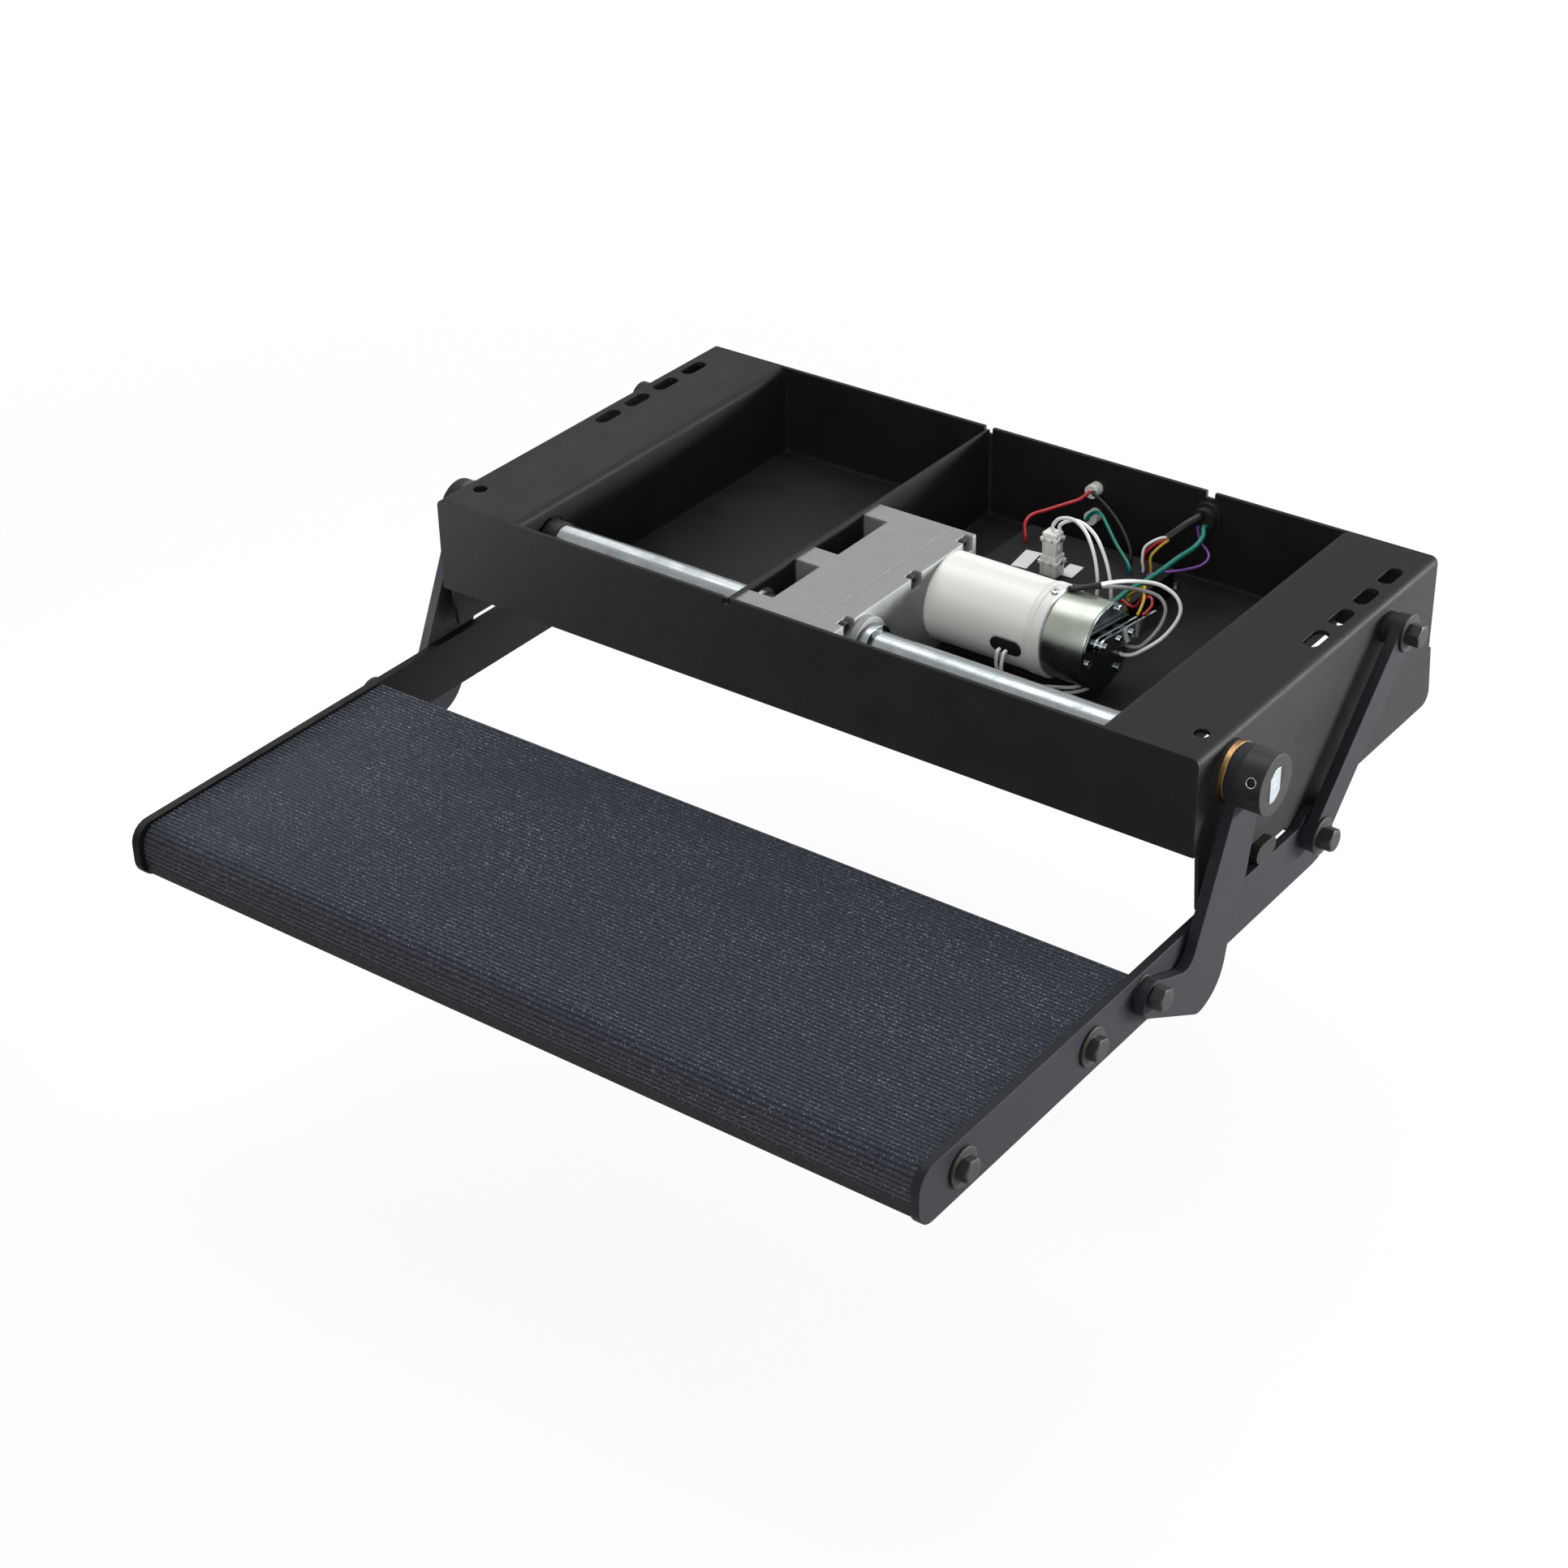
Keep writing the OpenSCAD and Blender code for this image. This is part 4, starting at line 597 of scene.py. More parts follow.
# %% Die-cast gearbox
cast, cast_tree, cast_shader = new_material("die_cast")
cast_skin = place(cast_tree, grain, Scale=1500.0)
cast_rub = place(cast_tree, edges, Radius=0.0026, Amount=0.7)
cast_dirt = place(cast_tree, dust, Amount=0.1)
cast_tone = blend_colours(cast_tree, cast_skin.outputs["Mottle"], (0.222, 0.234, 0.222), (0.262, 0.274, 0.262))
cast_tone = blend_colours(cast_tree, cast_rub.outputs["Mask"], cast_tone, (0.4, 0.4, 0.39))
cast_tone = blend_colours(cast_tree, cast_dirt.outputs["Mask"], cast_tone, (0.28, 0.27, 0.25))
connect(cast_tree, cast_shader, cast_tone, span(cast_tree, cast_skin.outputs["Mottle"], 0, 1, 0.5, 0.62),
        bump(cast_tree, cast_skin.outputs["Height"], 0.0001, cast_rub.outputs["Round Normal"]))
cast_shader.inputs["Metallic"].default_value = 0.2
cast_shader.inputs["Specular IOR Level"].default_value = 0.3
finish(cast, "gearbox_case", "gearbox_cover")
print("die-cast nodes:", len(cast_tree.nodes))

# %% [markdown]
# ## Paint, plastics and rubber
# The motor can has glossy white paint over rolled steel, with faint lines along the roll. The end ring and the
# connectors are moulded plastic: a softer white with a low sheen. Rubber and the control unit's case stay dark
# and matt, so only their edges and dust show.

# %% Painted can
can_paint, can_tree, can_shader = new_material("can_paint")
can_lines = place(can_tree, streaks, Along=3.0, Across=260.0)
can_skin = place(can_tree, grain, Scale=500.0)
can_round = place(can_tree, edges, Radius=0.003, Amount=0.2)
can_tone = blend_colours(can_tree, can_lines.outputs["Streak"], (0.9, 0.93, 0.875), (0.94, 0.96, 0.915))
connect(can_tree, can_shader, can_tone, span(can_tree, can_lines.outputs["Streak"], 0, 1, 0.2, 0.34),
        bump(can_tree, can_skin.outputs["Height"], 0.00003, can_round.outputs["Round Normal"]))
can_shader.inputs["Specular IOR Level"].default_value = 0.5
finish(can_paint, "motor_can")
print("can paint nodes:", len(can_tree.nodes))

# %% Moulded plastics and rubber
PLASTIC_EDGE, PLASTIC_ROUGHER = 0.0006, 0.1
PLASTIC_DUST = (0.3, 0.28, 0.25)


def moulded(name, colour, shade, roughness, gloss, peel=0.00004, scale=800.0, dusty=0.08):
    """Plastic, rubber or paper in two close shades, with a fine grain and dust."""
    material, tree, shader = new_material(name)
    skin = place(tree, grain, Scale=scale)
    rubbed = place(tree, edges, Radius=PLASTIC_EDGE, Amount=0.3)
    dirt = place(tree, dust, Amount=dusty)
    tone = blend_colours(tree, skin.outputs["Mottle"], colour, shade)
    tone = blend_colours(tree, rubbed.outputs["Mask"], tone, tuple(min(1.0, c * 1.2 + 0.02) for c in colour))
    tone = blend_colours(tree, dirt.outputs["Mask"], tone, PLASTIC_DUST)
    connect(tree, shader, tone, span(tree, skin.outputs["Mottle"], 0, 1, roughness, roughness + PLASTIC_ROUGHER),
            bump(tree, skin.outputs["Height"], peel, rubbed.outputs["Round Normal"]))
    shader.inputs["Specular IOR Level"].default_value = gloss
    return material


ring_plastic = moulded("ring_plastic", (0.9, 0.9, 0.87), (0.84, 0.85, 0.81), 0.3, 0.45)
nylon = moulded("connector_nylon", (0.9, 0.91, 0.88), (0.84, 0.85, 0.8), 0.28, 0.5)
case_plastic = moulded("case_plastic", (0.006, 0.006, 0.0065), (0.009, 0.009, 0.0095), 0.5, 0.12, 0.00008, 1200.0,
                       dusty=0.015)
rubber = moulded("black_rubber", (0.01, 0.01, 0.01), (0.014, 0.014, 0.0135), 0.6, 0.15, 0.00006, 600.0)
coil_copper = moulded("coil_enamel", (0.2, 0.09, 0.035), (0.14, 0.06, 0.025), 0.35, 0.5)
finish(ring_plastic, "motor_end_ring")
finish(nylon, "connector_socket", "connector_plug", "wire_clips")
finish(case_plastic, "control_unit")
finish(rubber, "stop_bumpers", "motor_grommet", "harness_grommet")
finish(coil_copper, "brake_coil")
print("plastics:", ring_plastic.name, nylon.name, case_plastic.name, rubber.name)

# %% Wire insulation
def dress(piece, material):
    """Material of a wire piece."""
    piece.data.materials.append(material)


white_skin = moulded("white_insulation", (0.9, 0.9, 0.89), (0.84, 0.84, 0.83), 0.35, 0.4)
grey_skin = moulded("grey_insulation", (0.32, 0.32, 0.32), (0.25, 0.25, 0.25), 0.35, 0.4)
red_skin = moulded("red_insulation", (0.55, 0.02, 0.03), (0.42, 0.012, 0.02), 0.32, 0.45)
black_skin = moulded("black_insulation", (0.008, 0.008, 0.009), (0.012, 0.012, 0.012), 0.35, 0.22)
green_skin = moulded("green_insulation", (0.0, 0.22, 0.165), (0.0, 0.16, 0.12), 0.34, 0.42)
purple_skin = moulded("purple_insulation", (0.19, 0.06, 0.34), (0.14, 0.04, 0.26), 0.35, 0.4)
yellow_skin = moulded("yellow_insulation", (0.72, 0.5, 0.02), (0.6, 0.4, 0.015), 0.35, 0.4)
for piece, material, slot in (
        (connector_pair, white_skin, "white_wire"), (motor_pair, white_skin, "white_wire"),
        (brake_white, white_skin, "white_wire"), (brake_grey, grey_skin, "white_wire"),
        (red_wire, red_skin, "red_wire"), (black_wire, black_skin, "black_wire"),
        (green_wire, green_skin, "green_wire"), (earth_wire, green_skin, "green_wire"),
        (purple_wire, purple_skin, "purple_wire"), (sensor_red, red_skin, "red_wire"),
        (sensor_yellow, yellow_skin, "white_wire"), (sleeve, black_skin, "black_wire"),
        (signal_white, white_skin, "white_wire"), (signal_yellow, yellow_skin, "white_wire"),
        (signal_red, red_skin, "red_wire"),
        (heat_shrink, black_skin, "black_wire")):
    dress(piece, material)

# %% [markdown]
# ## The grip of the tread
# The tread is a ribbed extrusion sprayed with paint that holds coarse mineral grit. From the camera the grit is
# a field of pale specks on a blue-black ground, thinner where feet have polished it. A Voronoi texture gives each
# grain its own random brightness, and only the brightest few become specks. Two sizes of grain share one group.
# The nose is worn, so it has fewer specks. The grooves between the ribs get painted shade, near black, and no grit
# reaches the sole edge.

# %% Group: grains of mineral grit
grains, grains_in, grains_out = new_group(
    "grit_grains", [("Scale", FLOAT, 900.0), ("Share", FLOAT, 0.2)], [("Speck", FLOAT), ("Chance", FLOAT)])
grains_cells = add(grains, "ShaderNodeTexVoronoi")
grains_split = add(grains, "ShaderNodeSeparateColor")
grains.links.new(object_place(grains), grains_cells.inputs["Vector"])
grains.links.new(grains_in.outputs["Scale"], grains_cells.inputs["Scale"])
grains.links.new(grains_cells.outputs["Color"], grains_split.inputs[0])
grains_rare = math_node(grains, "SUBTRACT", grains_split.outputs["Red"],
                        math_node(grains, "SUBTRACT", 1.0, grains_in.outputs["Share"]))
grains_lit = math_node(grains, "DIVIDE", grains_rare, grains_in.outputs["Share"], True)
grains_core = span(grains, grains_cells.outputs["Distance"], 0.62, 0.2)
grains.links.new(math_node(grains, "MULTIPLY", grains_lit, grains_core, True), grains_out.inputs["Speck"])
grains.links.new(grains_split.outputs["Green"], grains_out.inputs["Chance"])
print("group", grains.name, "has", len(grains.nodes), "nodes")

# %% Grit paint: specks and wear
COARSE_GRIT, FINE_GRIT = 1000.0, 1700.0
grit, grit_tree, grit_shader = new_material("grit_paint")
grit_place = object_place(grit_tree)
grit_along = add(grit_tree, "ShaderNodeVectorMath", {"operation": "MULTIPLY"})
grit_along.inputs[1].default_value = (0.3, 1.0, 1.0)
grit_tree.links.new(grit_place, grit_along.inputs[0])
grit_patch = noise(grit_tree, grit_along.outputs[0], Scale=16.0, Detail=5.0, Roughness=0.65)
grit_tint = noise(grit_tree, grit_along.outputs[0], Scale=9.0, Detail=2.0)
grit_coarse = place(grit_tree, grains, Scale=COARSE_GRIT, Share=0.2)
grit_fine = place(grit_tree, grains, Scale=FINE_GRIT, Share=0.5)
grit_skin = place(grit_tree, grain, Scale=1100.0)
grit_rub = place(grit_tree, edges, Radius=0.0005, Amount=0.6)
grit_front = span(grit_tree, axes(grit_tree, facing(grit_tree))["Y"], -0.35, -0.95)
grit_wear = math_node(grit_tree, "MULTIPLY", span(grit_tree, grit_patch.outputs["Fac"], 0.36, 0.64, 0.3, 1.0),
                      span(grit_tree, grit_front, 0.0, 1.0, 1.0, 0.45))
grit_speck = math_node(grit_tree, "MULTIPLY", grit_coarse.outputs["Speck"], grit_wear)
grit_dusting = math_node(grit_tree, "MULTIPLY", grit_fine.outputs["Speck"], 0.4)
print("coarse grains per 100 mm:", round(0.1 * COARSE_GRIT))

# %% Grit paint: ground, grooves and the bare sole edge
GROOVE_SHADE_REACH = 0.0016
BARE_START, BARE_FULL = 0.0095, 0.0075
tread_foot = min(vert.co.z for vert in solids["tread"].data.vertices)
# Painted shade: an occlusion mask turns the grooves between the ribs nearly black.
groove_occlusion = add(grit_tree, "ShaderNodeAmbientOcclusion", {"samples": 8, "only_local": True}, Distance=GROOVE_SHADE_REACH)
grit_painted_groove_shade = span(grit_tree, groove_occlusion.outputs["AO"], 0.94, 0.55, 0.0, 0.9)
grit_bare = span(grit_tree, axes(grit_tree, grit_place)["Z"], tread_foot + BARE_START, tread_foot + BARE_FULL)
grit_tone = blend_colours(grit_tree, span(grit_tree, grit_tint.outputs["Fac"], 0.4, 0.6), (0.022, 0.031, 0.045),
                          (0.025, 0.03, 0.044))
grit_tone = blend_colours(grit_tree, grit_wear, (0.016, 0.02, 0.028), grit_tone)
for layer, colour in (
        (grit_front, (0.036, 0.034, 0.042)), (grit_rub.outputs["Mask"], (0.075, 0.085, 0.1)),
        (grit_dusting, (0.23, 0.28, 0.35)), (grit_speck, (0.52, 0.6, 0.68)),
        (grit_painted_groove_shade, (0.003, 0.0035, 0.005)), (grit_bare, (0.013, 0.0128, 0.0145))):
    grit_tone = blend_colours(grit_tree, layer, grit_tone, colour)
grit_height = math_node(grit_tree, "ADD", grit_speck, grit_skin.outputs["Height"])
connect(grit_tree, grit_shader, grit_tone, span(grit_tree, grit_coarse.outputs["Chance"], 0, 1, 0.5, 0.8),
        bump(grit_tree, grit_height, 0.00025, grit_rub.outputs["Round Normal"]))
grit_shader.inputs["Specular IOR Level"].default_value = 0.2
finish(grit, "tread")
print("bare sole edge under", round((tread_foot + BARE_FULL) / MM, 1), "mm")

# %% [markdown]
# ## Bolts with chamfered heads
# The pivots turn on shoulder bolts and the tread is held by plain hexagon bolts, most of them over a washer. A
# turned head has a chamfer that cuts the six corners in shallow arcs. Rings of points can follow that exactly: the
# outline of the hexagon at each angle gives the height at which the cone meets it. The left pivots have flush
# heads with a hexagon socket, because nothing stands proud of the arms there.

# %% Rings of points and turned pieces
TURN = 60


def ring(bm, x, radii, centre, side):
    """Ring round an axis along X: a radius for each step, and one x or an x for each step."""
    verts = []
    for k, radius in enumerate(radii):
        angle = 2 * math.pi * k / TURN
        y = centre[0] + radius * math.cos(angle)
        z = centre[1] + radius * math.sin(angle)
        verts.append(bm.verts.new((side * (x[k] if isinstance(x, list) else x), y, z)))
    return verts


def skin_rings(bm, rings, closed=True):
    """Faces between neighbouring rings, and caps on the first and the last."""
    for first, second in zip(rings, rings[1:]):
        for k in range(len(first)):
            after = (k + 1) % len(first)
            bm.faces.new((first[k], first[after], second[after], second[k]))
    if closed:
        bm.faces.new(rings[0][::-1])
        bm.faces.new(rings[-1])


def turned(bm, profile, centre, side):
    """Solid of revolution along X from (x, radius) points."""
    skin_rings(bm, [ring(bm, x, [r] * TURN, centre, side) for x, r in profile])


print("each ring has", TURN, "points")

# %% Hexagon heads and washers
CHAMFER = math.tan(math.radians(30))
HEAD_SEAT, HEAD_CROWN, HEAD_DISH = 0.9, 0.95, 0.5
SEAT_H, DISH_DEEP, WASHER_EDGE = 0.3 * MM, 0.25 * MM, 0.35 * MM


def hexagon_outline(flat, turn=0.0):
    """Radius of a hexagon at each step, from half its width across the flats."""
    return [flat / math.cos((2 * math.pi * k / TURN + turn) % (math.pi / 3) - math.pi / 6) for k in range(TURN)]


def hexagon_head(bm, x, centre, side, across, height, turn):
    """Head with chamfered corners and a shallow dish."""
    flat = across / 2
    hexagon = hexagon_outline(flat, turn)
    round_r = HEAD_CROWN * flat
    cone = [x + height - (r - round_r) * CHAMFER for r in hexagon]
    skin_rings(bm, [ring(bm, x, [HEAD_SEAT * flat] * TURN, centre, side),
                    ring(bm, x + SEAT_H, hexagon, centre, side), ring(bm, cone, hexagon, centre, side),
                    ring(bm, x + height, [round_r] * TURN, centre, side),
                    ring(bm, x + height - DISH_DEEP, [HEAD_DISH * flat] * TURN, centre, side)])


def washer(bm, x, centre, side, radius, thickness):
    """Flat disc with its edges broken."""
    turned(bm, [(x, radius - WASHER_EDGE), (x + WASHER_EDGE, radius), (x + thickness - WASHER_EDGE, radius),
                (x + thickness, radius - WASHER_EDGE)], centre, side)


print("chamfer falls", round(CHAMFER, 3), "mm for each mm outwards")

# %% Maker of a mesh piece
SHARP_ANGLE = math.radians(35)


def mesh_piece(name, bm, material, body, slot, *nodes):
    """Piece from a finished bmesh: it rides on a body and stands for the named nodes."""
    bmesh.ops.recalc_face_normals(bm, faces=bm.faces[:])
    mesh = bpy.data.meshes.new(name)
    bm.to_mesh(mesh)
    bm.free()
    mesh.materials.append(material)
    mesh.shade_smooth()
    mesh.set_sharp_from_angle(angle=SHARP_ANGLE)
    piece = bpy.data.objects.new(name, mesh)
    bpy.context.collection.objects.link(piece)
    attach(piece, body)
    if nodes:
        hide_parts(*nodes)
    print("made", name, "with", len(mesh.polygons), "faces")
    return piece


# %% Sizes read from the solids
arm_low, arm_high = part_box("right_front_arm")
rail_low, rail_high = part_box("right_rail")
link_low, link_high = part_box("right_rear_arm")
HEX, PIVOT_HEAD, TREAD_HEAD = 14.5 * MM, 9 * MM, 6 * MM
WASHER_R, WASHER_T, SHOULDER_R, THREAD_R, LINK_R = 13 * MM, 2 * MM, 6 * MM, 5 * MM, 11 * MM
SINK_R, SINK_H, SOCKET_FLAT, SOCKET_DEEP = 9 * MM, 4 * MM, 4 * MM, 2.5 * MM
PLAY, BOLT_IN_TREAD, BOLT_IN_PAN = 0.2 * MM, 30 * MM, 3 * MM
PIVOT_TURN, TREAD_TURN = 0.35, 0.25
SHAFT_AXIS, LINK_END = (9 * MM, -25 * MM), 12 * MM
rear_pivot = (link_high.y - LINK_END, link_high.z - LINK_END)
rear_foot = (link_low.y + LINK_END, link_low.z + LINK_END)
front_foot = (SHAFT_AXIS[0] + rear_foot[0] - rear_pivot[0], SHAFT_AXIS[1] + rear_foot[1] - rear_pivot[1])
TREAD_BOLT_Y, RAIL_HALF = (-291 * MM, -153 * MM), 20 * MM
tread_bolts = [(y, rail_low.z + RAIL_HALF) for y in TREAD_BOLT_Y]
print("front pivot at", [round(v / MM, 1) for v in front_foot], "rear pivot at", [round(v / MM, 1) for v in rear_pivot])

# %% Pivot bolts on the right, flush ones on the left
def pivot_bolt(bm, at, inner, plate, washer_t):
    """Shoulder bolt on the right, over a washer if that has a thickness."""
    face = arm_high.x + PLAY
    turned(bm, [(inner, THREAD_R), (plate, THREAD_R), (plate, SHOULDER_R), (face, SHOULDER_R)], at, 1)
    if washer_t:
        washer(bm, face, at, 1, WASHER_R, washer_t)
    hexagon_head(bm, face + washer_t, at, 1, HEX, PIVOT_HEAD, PIVOT_TURN)


def flush_bolt(bm, at, inner, plate):
    """Shoulder bolt on the left, with a sunk head and a hexagon socket."""
    face = arm_high.x
    socket = hexagon_outline(SOCKET_FLAT)
    rings = [ring(bm, x, [r] * TURN, at, -1) for x, r in (
        (inner, THREAD_R), (plate, THREAD_R), (plate, SHOULDER_R), (face - SINK_H, SHOULDER_R),
        (face - 0.4 * MM, SINK_R - 0.1 * MM), (face, SINK_R - 0.5 * MM))]
    skin_rings(bm, rings + [ring(bm, face, socket, at, -1), ring(bm, face - SOCKET_DEEP, socket, at, -1)])


print("pivot heads are", round(HEX / MM, 1), "mm across the flats, flush heads", round(2 * SINK_R / MM), "mm wide")

# %% Bolts of the rails, the tread and the rear arms
fasteners = bmesh.new()
for side in (1, -1):
    for at in (front_foot, rear_foot):
        turned(fasteners, [(rail_high.x, SHOULDER_R), (rail_high.x, LINK_R), (arm_low.x - PLAY, LINK_R),
                           (arm_low.x - PLAY, SHOULDER_R)], at, side)
    for at in tread_bolts:
        turned(fasteners, [(rail_low.x - BOLT_IN_TREAD, THREAD_R), (rail_high.x, THREAD_R)], at, side)
        washer(fasteners, rail_high.x, at, side, WASHER_R, WASHER_T)
        hexagon_head(fasteners, rail_high.x + WASHER_T, at, side, HEX, TREAD_HEAD, TREAD_TURN * side)
pivot_bolt(fasteners, front_foot, rail_low.x, rail_high.x, 0)
pivot_bolt(fasteners, rear_foot, rail_low.x, rail_high.x, WASHER_T)
for at in (front_foot, rear_foot):
    flush_bolt(fasteners, at, rail_low.x, rail_high.x)
mesh_piece("tread_bolt_set", fasteners, bolt_coat, "tread_set", "dark_bolts", "tread_fasteners")

rear_bolts = bmesh.new()
pivot_bolt(rear_bolts, rear_pivot, pan_high.x - BOLT_IN_PAN, pan_high.x, WASHER_T)
flush_bolt(rear_bolts, rear_pivot, pan_high.x - BOLT_IN_PAN, pan_high.x)
mesh_piece("rear_bolt_set", rear_bolts, bolt_coat, "housing", "dark_bolts", "rear_pivot_bolts")

# %% [markdown]
# ## Turned pieces of the motor and the screws
# The brake cup is drawn from bright sheet and mirrors the room, so flat facets would show in it at once. The end
# ring is turned plastic with a groove. Both are made here as closed profiles swung round the motor's axis with
# smooth normals. A small screw with a crossed recess holds the ring, and a hollow set screw locks the hub.

# %% Brake cup and grooved end ring
def swung(bm, profile, centre):
    """Hollow turned piece: a closed loop of (x, radius) points."""
    rings = [ring(bm, x, [r] * TURN, centre, 1) for x, r in profile]
    skin_rings(bm, rings + rings[:1], closed=False)


cup_low, cup_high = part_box("brake_housing")
ring_low, ring_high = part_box("motor_end_ring")
motor_axis = ((cup_low.y + cup_high.y) / 2, (cup_low.z + cup_high.z) / 2)
CUP_R, CUP_WALL = (cup_high.y - cup_low.y) / 2, 1.5 * MM
cup = bmesh.new()
swung(cup, [(cup_low.x, CUP_R), (cup_high.x - 1.2 * MM, CUP_R), (cup_high.x - 0.4 * MM, CUP_R - 0.35 * MM),
            (cup_high.x, CUP_R - CUP_WALL * 0.8), (cup_high.x, CUP_R - CUP_WALL),
            (cup_low.x, CUP_R - CUP_WALL)], motor_axis)
mesh_piece("brake_cup", cup, cup_zinc, "housing", "zinc", "brake_housing")

RING_R, BORE_R, SPIGOT_R = (ring_high.y - ring_low.y) / 2, 4.3 * MM, 28.9 * MM
RING_LONG, RING_EDGE, GROOVE_AT, GROOVE_DEEP = 12 * MM, 0.6 * MM, 4.2 * MM, 0.7 * MM
ring_face = cup_low.x - RING_LONG
groove = ring_face + GROOVE_AT
end_ring = bmesh.new()
swung(end_ring, [
    (ring_low.x, SPIGOT_R), (ring_face, SPIGOT_R), (ring_face, RING_R - RING_EDGE), (ring_face + RING_EDGE, RING_R),
    (groove, RING_R), (groove + 0.2 * MM, RING_R - GROOVE_DEEP), (groove + 1.0 * MM, RING_R - GROOVE_DEEP),
    (groove + 1.2 * MM, RING_R), (cup_low.x - RING_EDGE, RING_R), (cup_low.x, RING_R - RING_EDGE),
    (cup_low.x, BORE_R), (ring_low.x, BORE_R)], motor_axis)
mesh_piece("end_ring", end_ring, ring_plastic, "housing", "white_plastic", "motor_end_ring")
print("cup radius", round(CUP_R / MM, 2), "ring radius", round(RING_R / MM, 2), "mm")

# %% Crossed screw on the end ring
def screw_ring(bm, centre, turn, height, radii):
    """Ring of points round a leaning axis: one height and a radius for each step."""
    return [bm.verts.new(centre + turn @ Vector((r * math.cos(2 * math.pi * k / TURN),
                                                 r * math.sin(2 * math.pi * k / TURN), height)))
            for k, r in enumerate(radii)]


def cross_outline(reach, half_width):
    """Radius of a plus sign at each step."""
    radii = []
    for k in range(TURN):
        angle = 2 * math.pi * k / TURN
        radii.append(max(min(reach, half_width / max(abs(side), 0.01)) for side in (math.sin(angle), math.cos(angle))))
    return radii


SCREW_R, SCREW_TOP, SCREW_BACK, SCREW_SUNK = 3.0 * MM, 2.1 * MM, 3.6 * MM, 0.3 * MM
RECESS_REACH, RECESS_HALF, RECESS_FLOOR = 1.6 * MM, 0.4 * MM, 0.9 * MM
lean = math.radians(100)
outwards = Vector((0, math.cos(lean), math.sin(lean)))
turn = Vector((0, 0, 1)).rotation_difference(outwards)
screw_foot = Vector((cup_low.x - SCREW_BACK, *motor_axis)) + outwards * (RING_R - SCREW_SUNK)
screw_head = [(0, SCREW_R), (1.2 * MM, SCREW_R), (1.8 * MM, 2.6 * MM), (SCREW_TOP, 1.9 * MM)]
recess = cross_outline(RECESS_REACH, RECESS_HALF)
ring_screw = bmesh.new()
skin_rings(ring_screw, [screw_ring(ring_screw, screw_foot, turn, h, [r] * TURN) for h, r in screw_head]
           + [screw_ring(ring_screw, screw_foot, turn, h, recess) for h in (SCREW_TOP, RECESS_FLOOR)])
mesh_piece("ring_screw", ring_screw, screw_zinc, "housing", "zinc")
print("ring screw top at", round((screw_foot + outwards * SCREW_TOP).z / MM, 1), "mm")

# %% Set screw of the hub
hub_low, hub_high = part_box("arm_hub")
HUB_R, SET_R, SET_WALL = (hub_high.z - hub_low.z) / 2, 3.5 * MM, 0.6 * MM
SET_LONG, SET_SOCKET, SET_ALONG, PAINTED_SHADE_DEPTH = 7.4 * MM, 4 * MM, 0.58, 0.5 * MM
lean = math.radians(24)
outwards = Vector((0, -math.cos(lean), math.sin(lean)))
turn = Vector((0, 0, 1)).rotation_difference(outwards)
screw_axis = Vector((hub_low.x + SET_ALONG * (hub_high.x - hub_low.x), *((hub_low + hub_high) / 2)[1:]))
set_screw = bmesh.new()
set_rings = [screw_ring(set_screw, screw_axis, turn, height, [r] * TURN)
             for height, r in ((HUB_R - SET_LONG, SET_R), (HUB_R - 0.4 * MM, SET_R),
                               (HUB_R - 0.2 * MM, SET_R - 0.2 * MM), (HUB_R - 0.3 * MM, SET_R - SET_WALL),
                               (HUB_R - SET_SOCKET, SET_R - SET_WALL))]
skin_rings(set_screw, set_rings)
# Painted shade: faces deeper than the rim take the black bolt coat, standing for the shade inside the zinc socket.
for face in set_screw.faces:
    depth = min((vert.co - screw_axis).dot(outwards) for vert in face.verts)
    face.material_index = 0 if depth > HUB_R - PAINTED_SHADE_DEPTH else 1
mesh_piece("hub_set_screw", set_screw, screw_zinc, "drive", "zinc", "set_screw").data.materials.append(bolt_coat)
print("set screw points", round(math.degrees(lean)), "degrees above the front")

# %% [markdown]
# ## Connector and labels
# The two halves of the connector are moulded nylon with collars, a latch and guide ribs. Rounded blocks joined in
# one mesh give their soft corners. Two paper labels lie on the control unit and stay blank.

# %% Connector halves with ribs
BODY_INSET, COLLAR_H = Vector((1.2, 0.8, 0)) * MM, 3 * MM
RIB_AT, RIB_HALF, RIB_INSET = 3 * MM, 0.7 * MM, 1 * MM
LATCH_T, LATCH_HALF, LATCH_LOW, LATCH_HIGH = 1.5 * MM, 2 * MM, 0.3, 0.85


def rounded_block(bm, low, high, radius):
    """Box between two corners, with its edges rounded."""
    made = bmesh.ops.create_cube(bm, size=1.0)["verts"]
    for vert in made:
        for i in range(3):
            vert.co[i] = low[i] if vert.co[i] < 0 else high[i]
    around = list({edge for vert in made for edge in vert.link_edges})
    bmesh.ops.bevel(bm, geom=around, offset=radius, segments=2, profile=0.5, affect="EDGES")


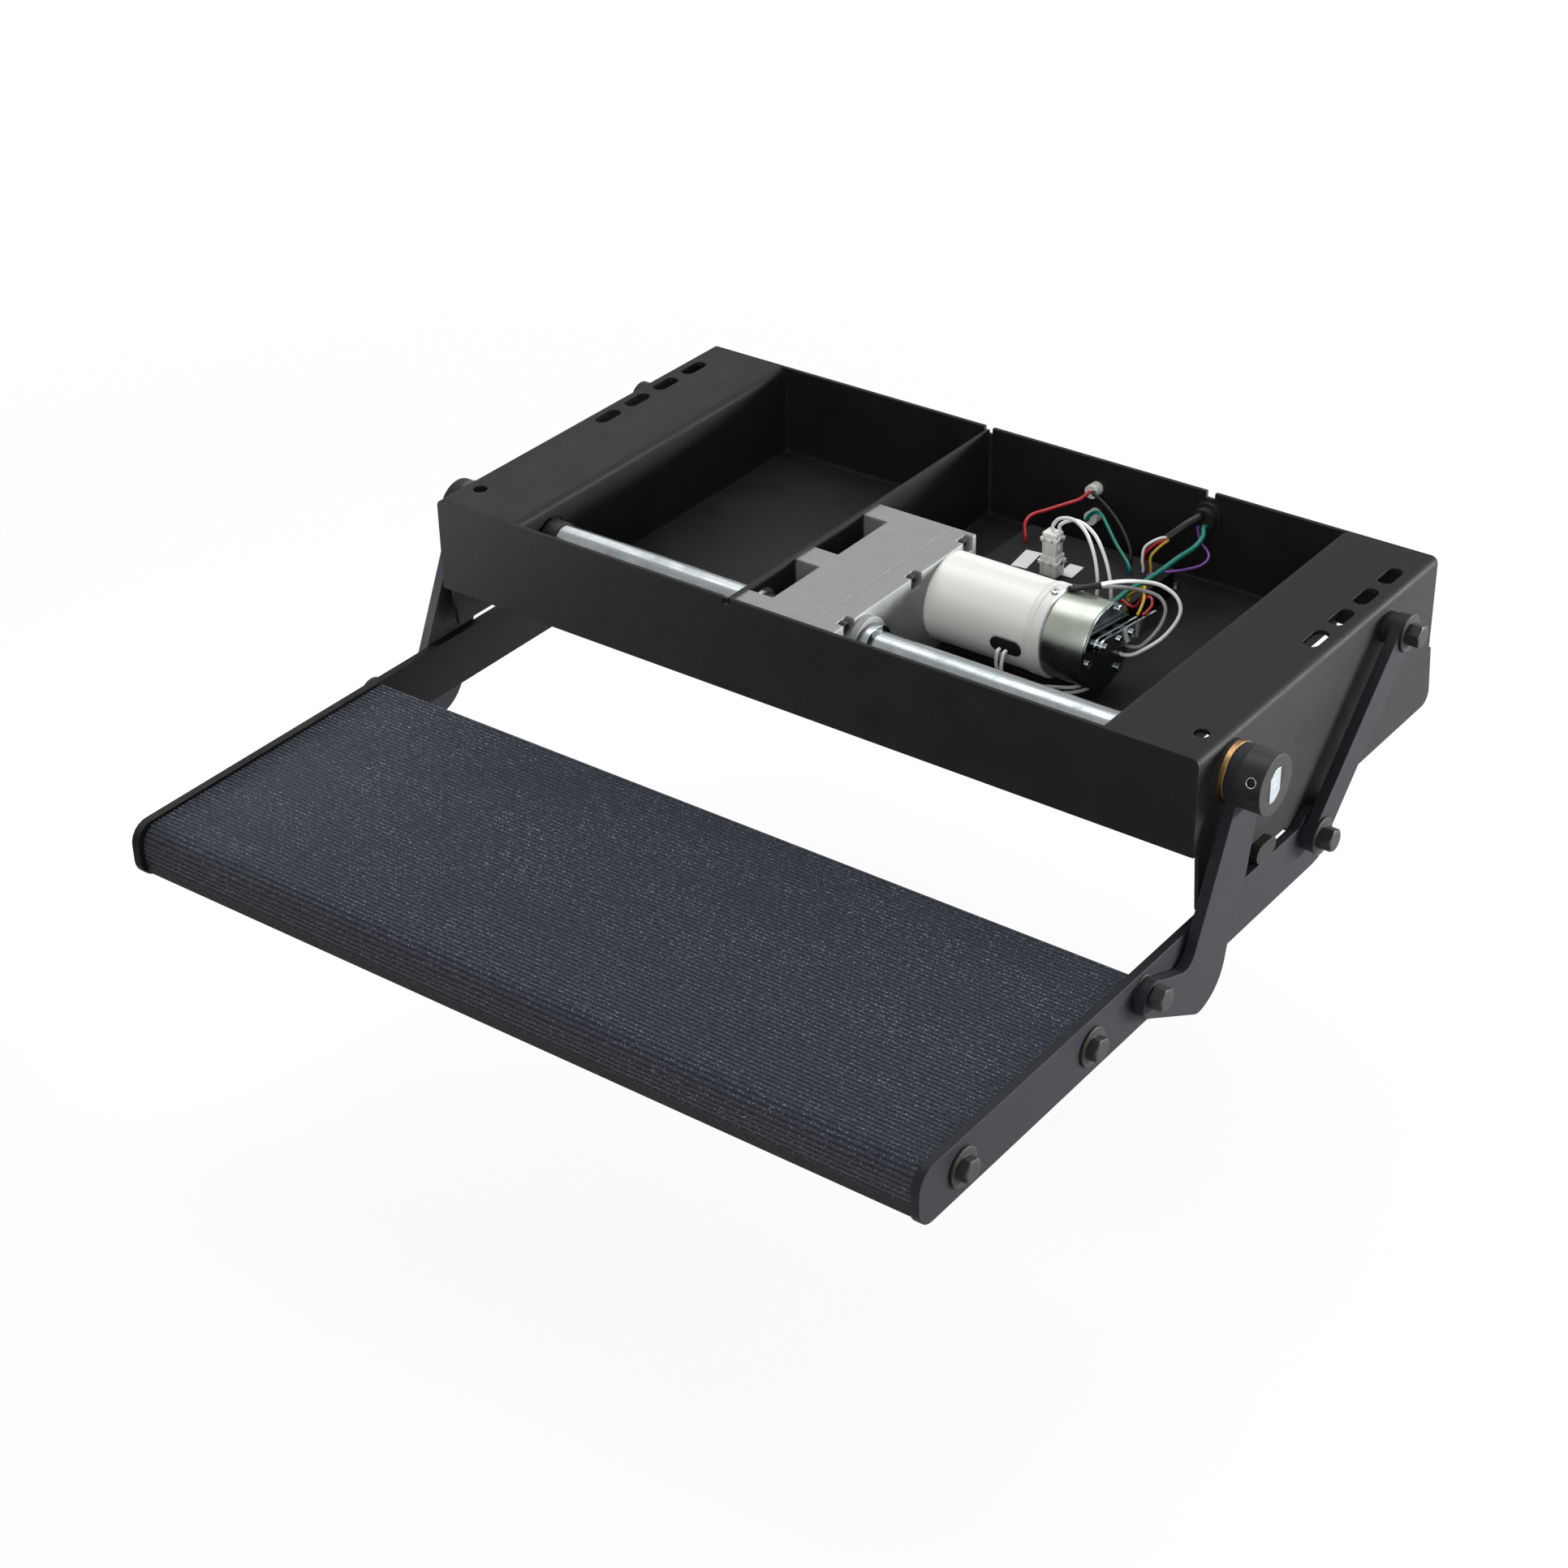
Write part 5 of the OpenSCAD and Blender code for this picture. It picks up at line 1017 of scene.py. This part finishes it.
def nylon_half(name, node, collar_at):
    """Half of the connector, with its collar at a share of the height."""
    low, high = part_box(node)
    middle = (low + high) / 2
    tall = high.z - low.z
    shell = bmesh.new()
    rounded_block(shell, low + BODY_INSET, high - BODY_INSET, 0.8 * MM)
    collar = low.z + tall * collar_at
    rounded_block(shell, (low.x, low.y, collar), (high.x, high.y, collar + COLLAR_H), 0.5 * MM)
    for k in (-1, 1):
        rib = middle.x + k * RIB_AT
        rounded_block(shell, (rib - RIB_HALF, low.y, low.z + RIB_INSET),
                      (rib + RIB_HALF, high.y, high.z - RIB_INSET), 0.3 * MM)
    rounded_block(shell, (high.x - LATCH_T, middle.y - LATCH_HALF, low.z + tall * LATCH_LOW),
                  (high.x, middle.y + LATCH_HALF, low.z + tall * LATCH_HIGH), 0.4 * MM)
    mesh_piece(name, shell, nylon, "housing", "white_plastic", node)


nylon_half("nylon_socket", "connector_socket", 0.55)
nylon_half("nylon_plug", "connector_plug", 0.6)

# %% Blank paper labels on the control unit
LABEL_STEPS, LABEL_CORNER, LABEL_T = 24, 0.8, 0.15
paper_white = moulded("label_paper", (0.8, 0.8, 0.79), (0.74, 0.74, 0.72), 0.55, 0.3, 0.00002, 1500.0)
for name, centre, size, degrees in (("label_one", (31, 209), (12, 26), 8), ("label_two", (66, 212), (11, 18), 4)):
    sheet = bmesh.new()
    turn = math.radians(degrees)
    outline = []
    for k in range(LABEL_STEPS):
        angle = 2 * math.pi * (k + 0.5) / LABEL_STEPS
        corner = Vector((math.copysign(size[0] / 2 - LABEL_CORNER, math.cos(angle)),
                         math.copysign(size[1] / 2 - LABEL_CORNER, math.sin(angle))))
        x = corner.x + LABEL_CORNER * math.cos(angle)
        y = corner.y + LABEL_CORNER * math.sin(angle)
        outline.append((centre[0] + x * math.cos(turn) - y * math.sin(turn),
                        centre[1] + x * math.sin(turn) + y * math.cos(turn)))
    skin_rings(sheet, [[sheet.verts.new((x * MM, y * MM, (unit_top + up) * MM)) for x, y in outline]
                       for up in (0.0, LABEL_T)])
    mesh_piece(name, sheet, paper_white, "housing", "white_plastic")
print("labels lie at", round(unit_top, 2), "mm")
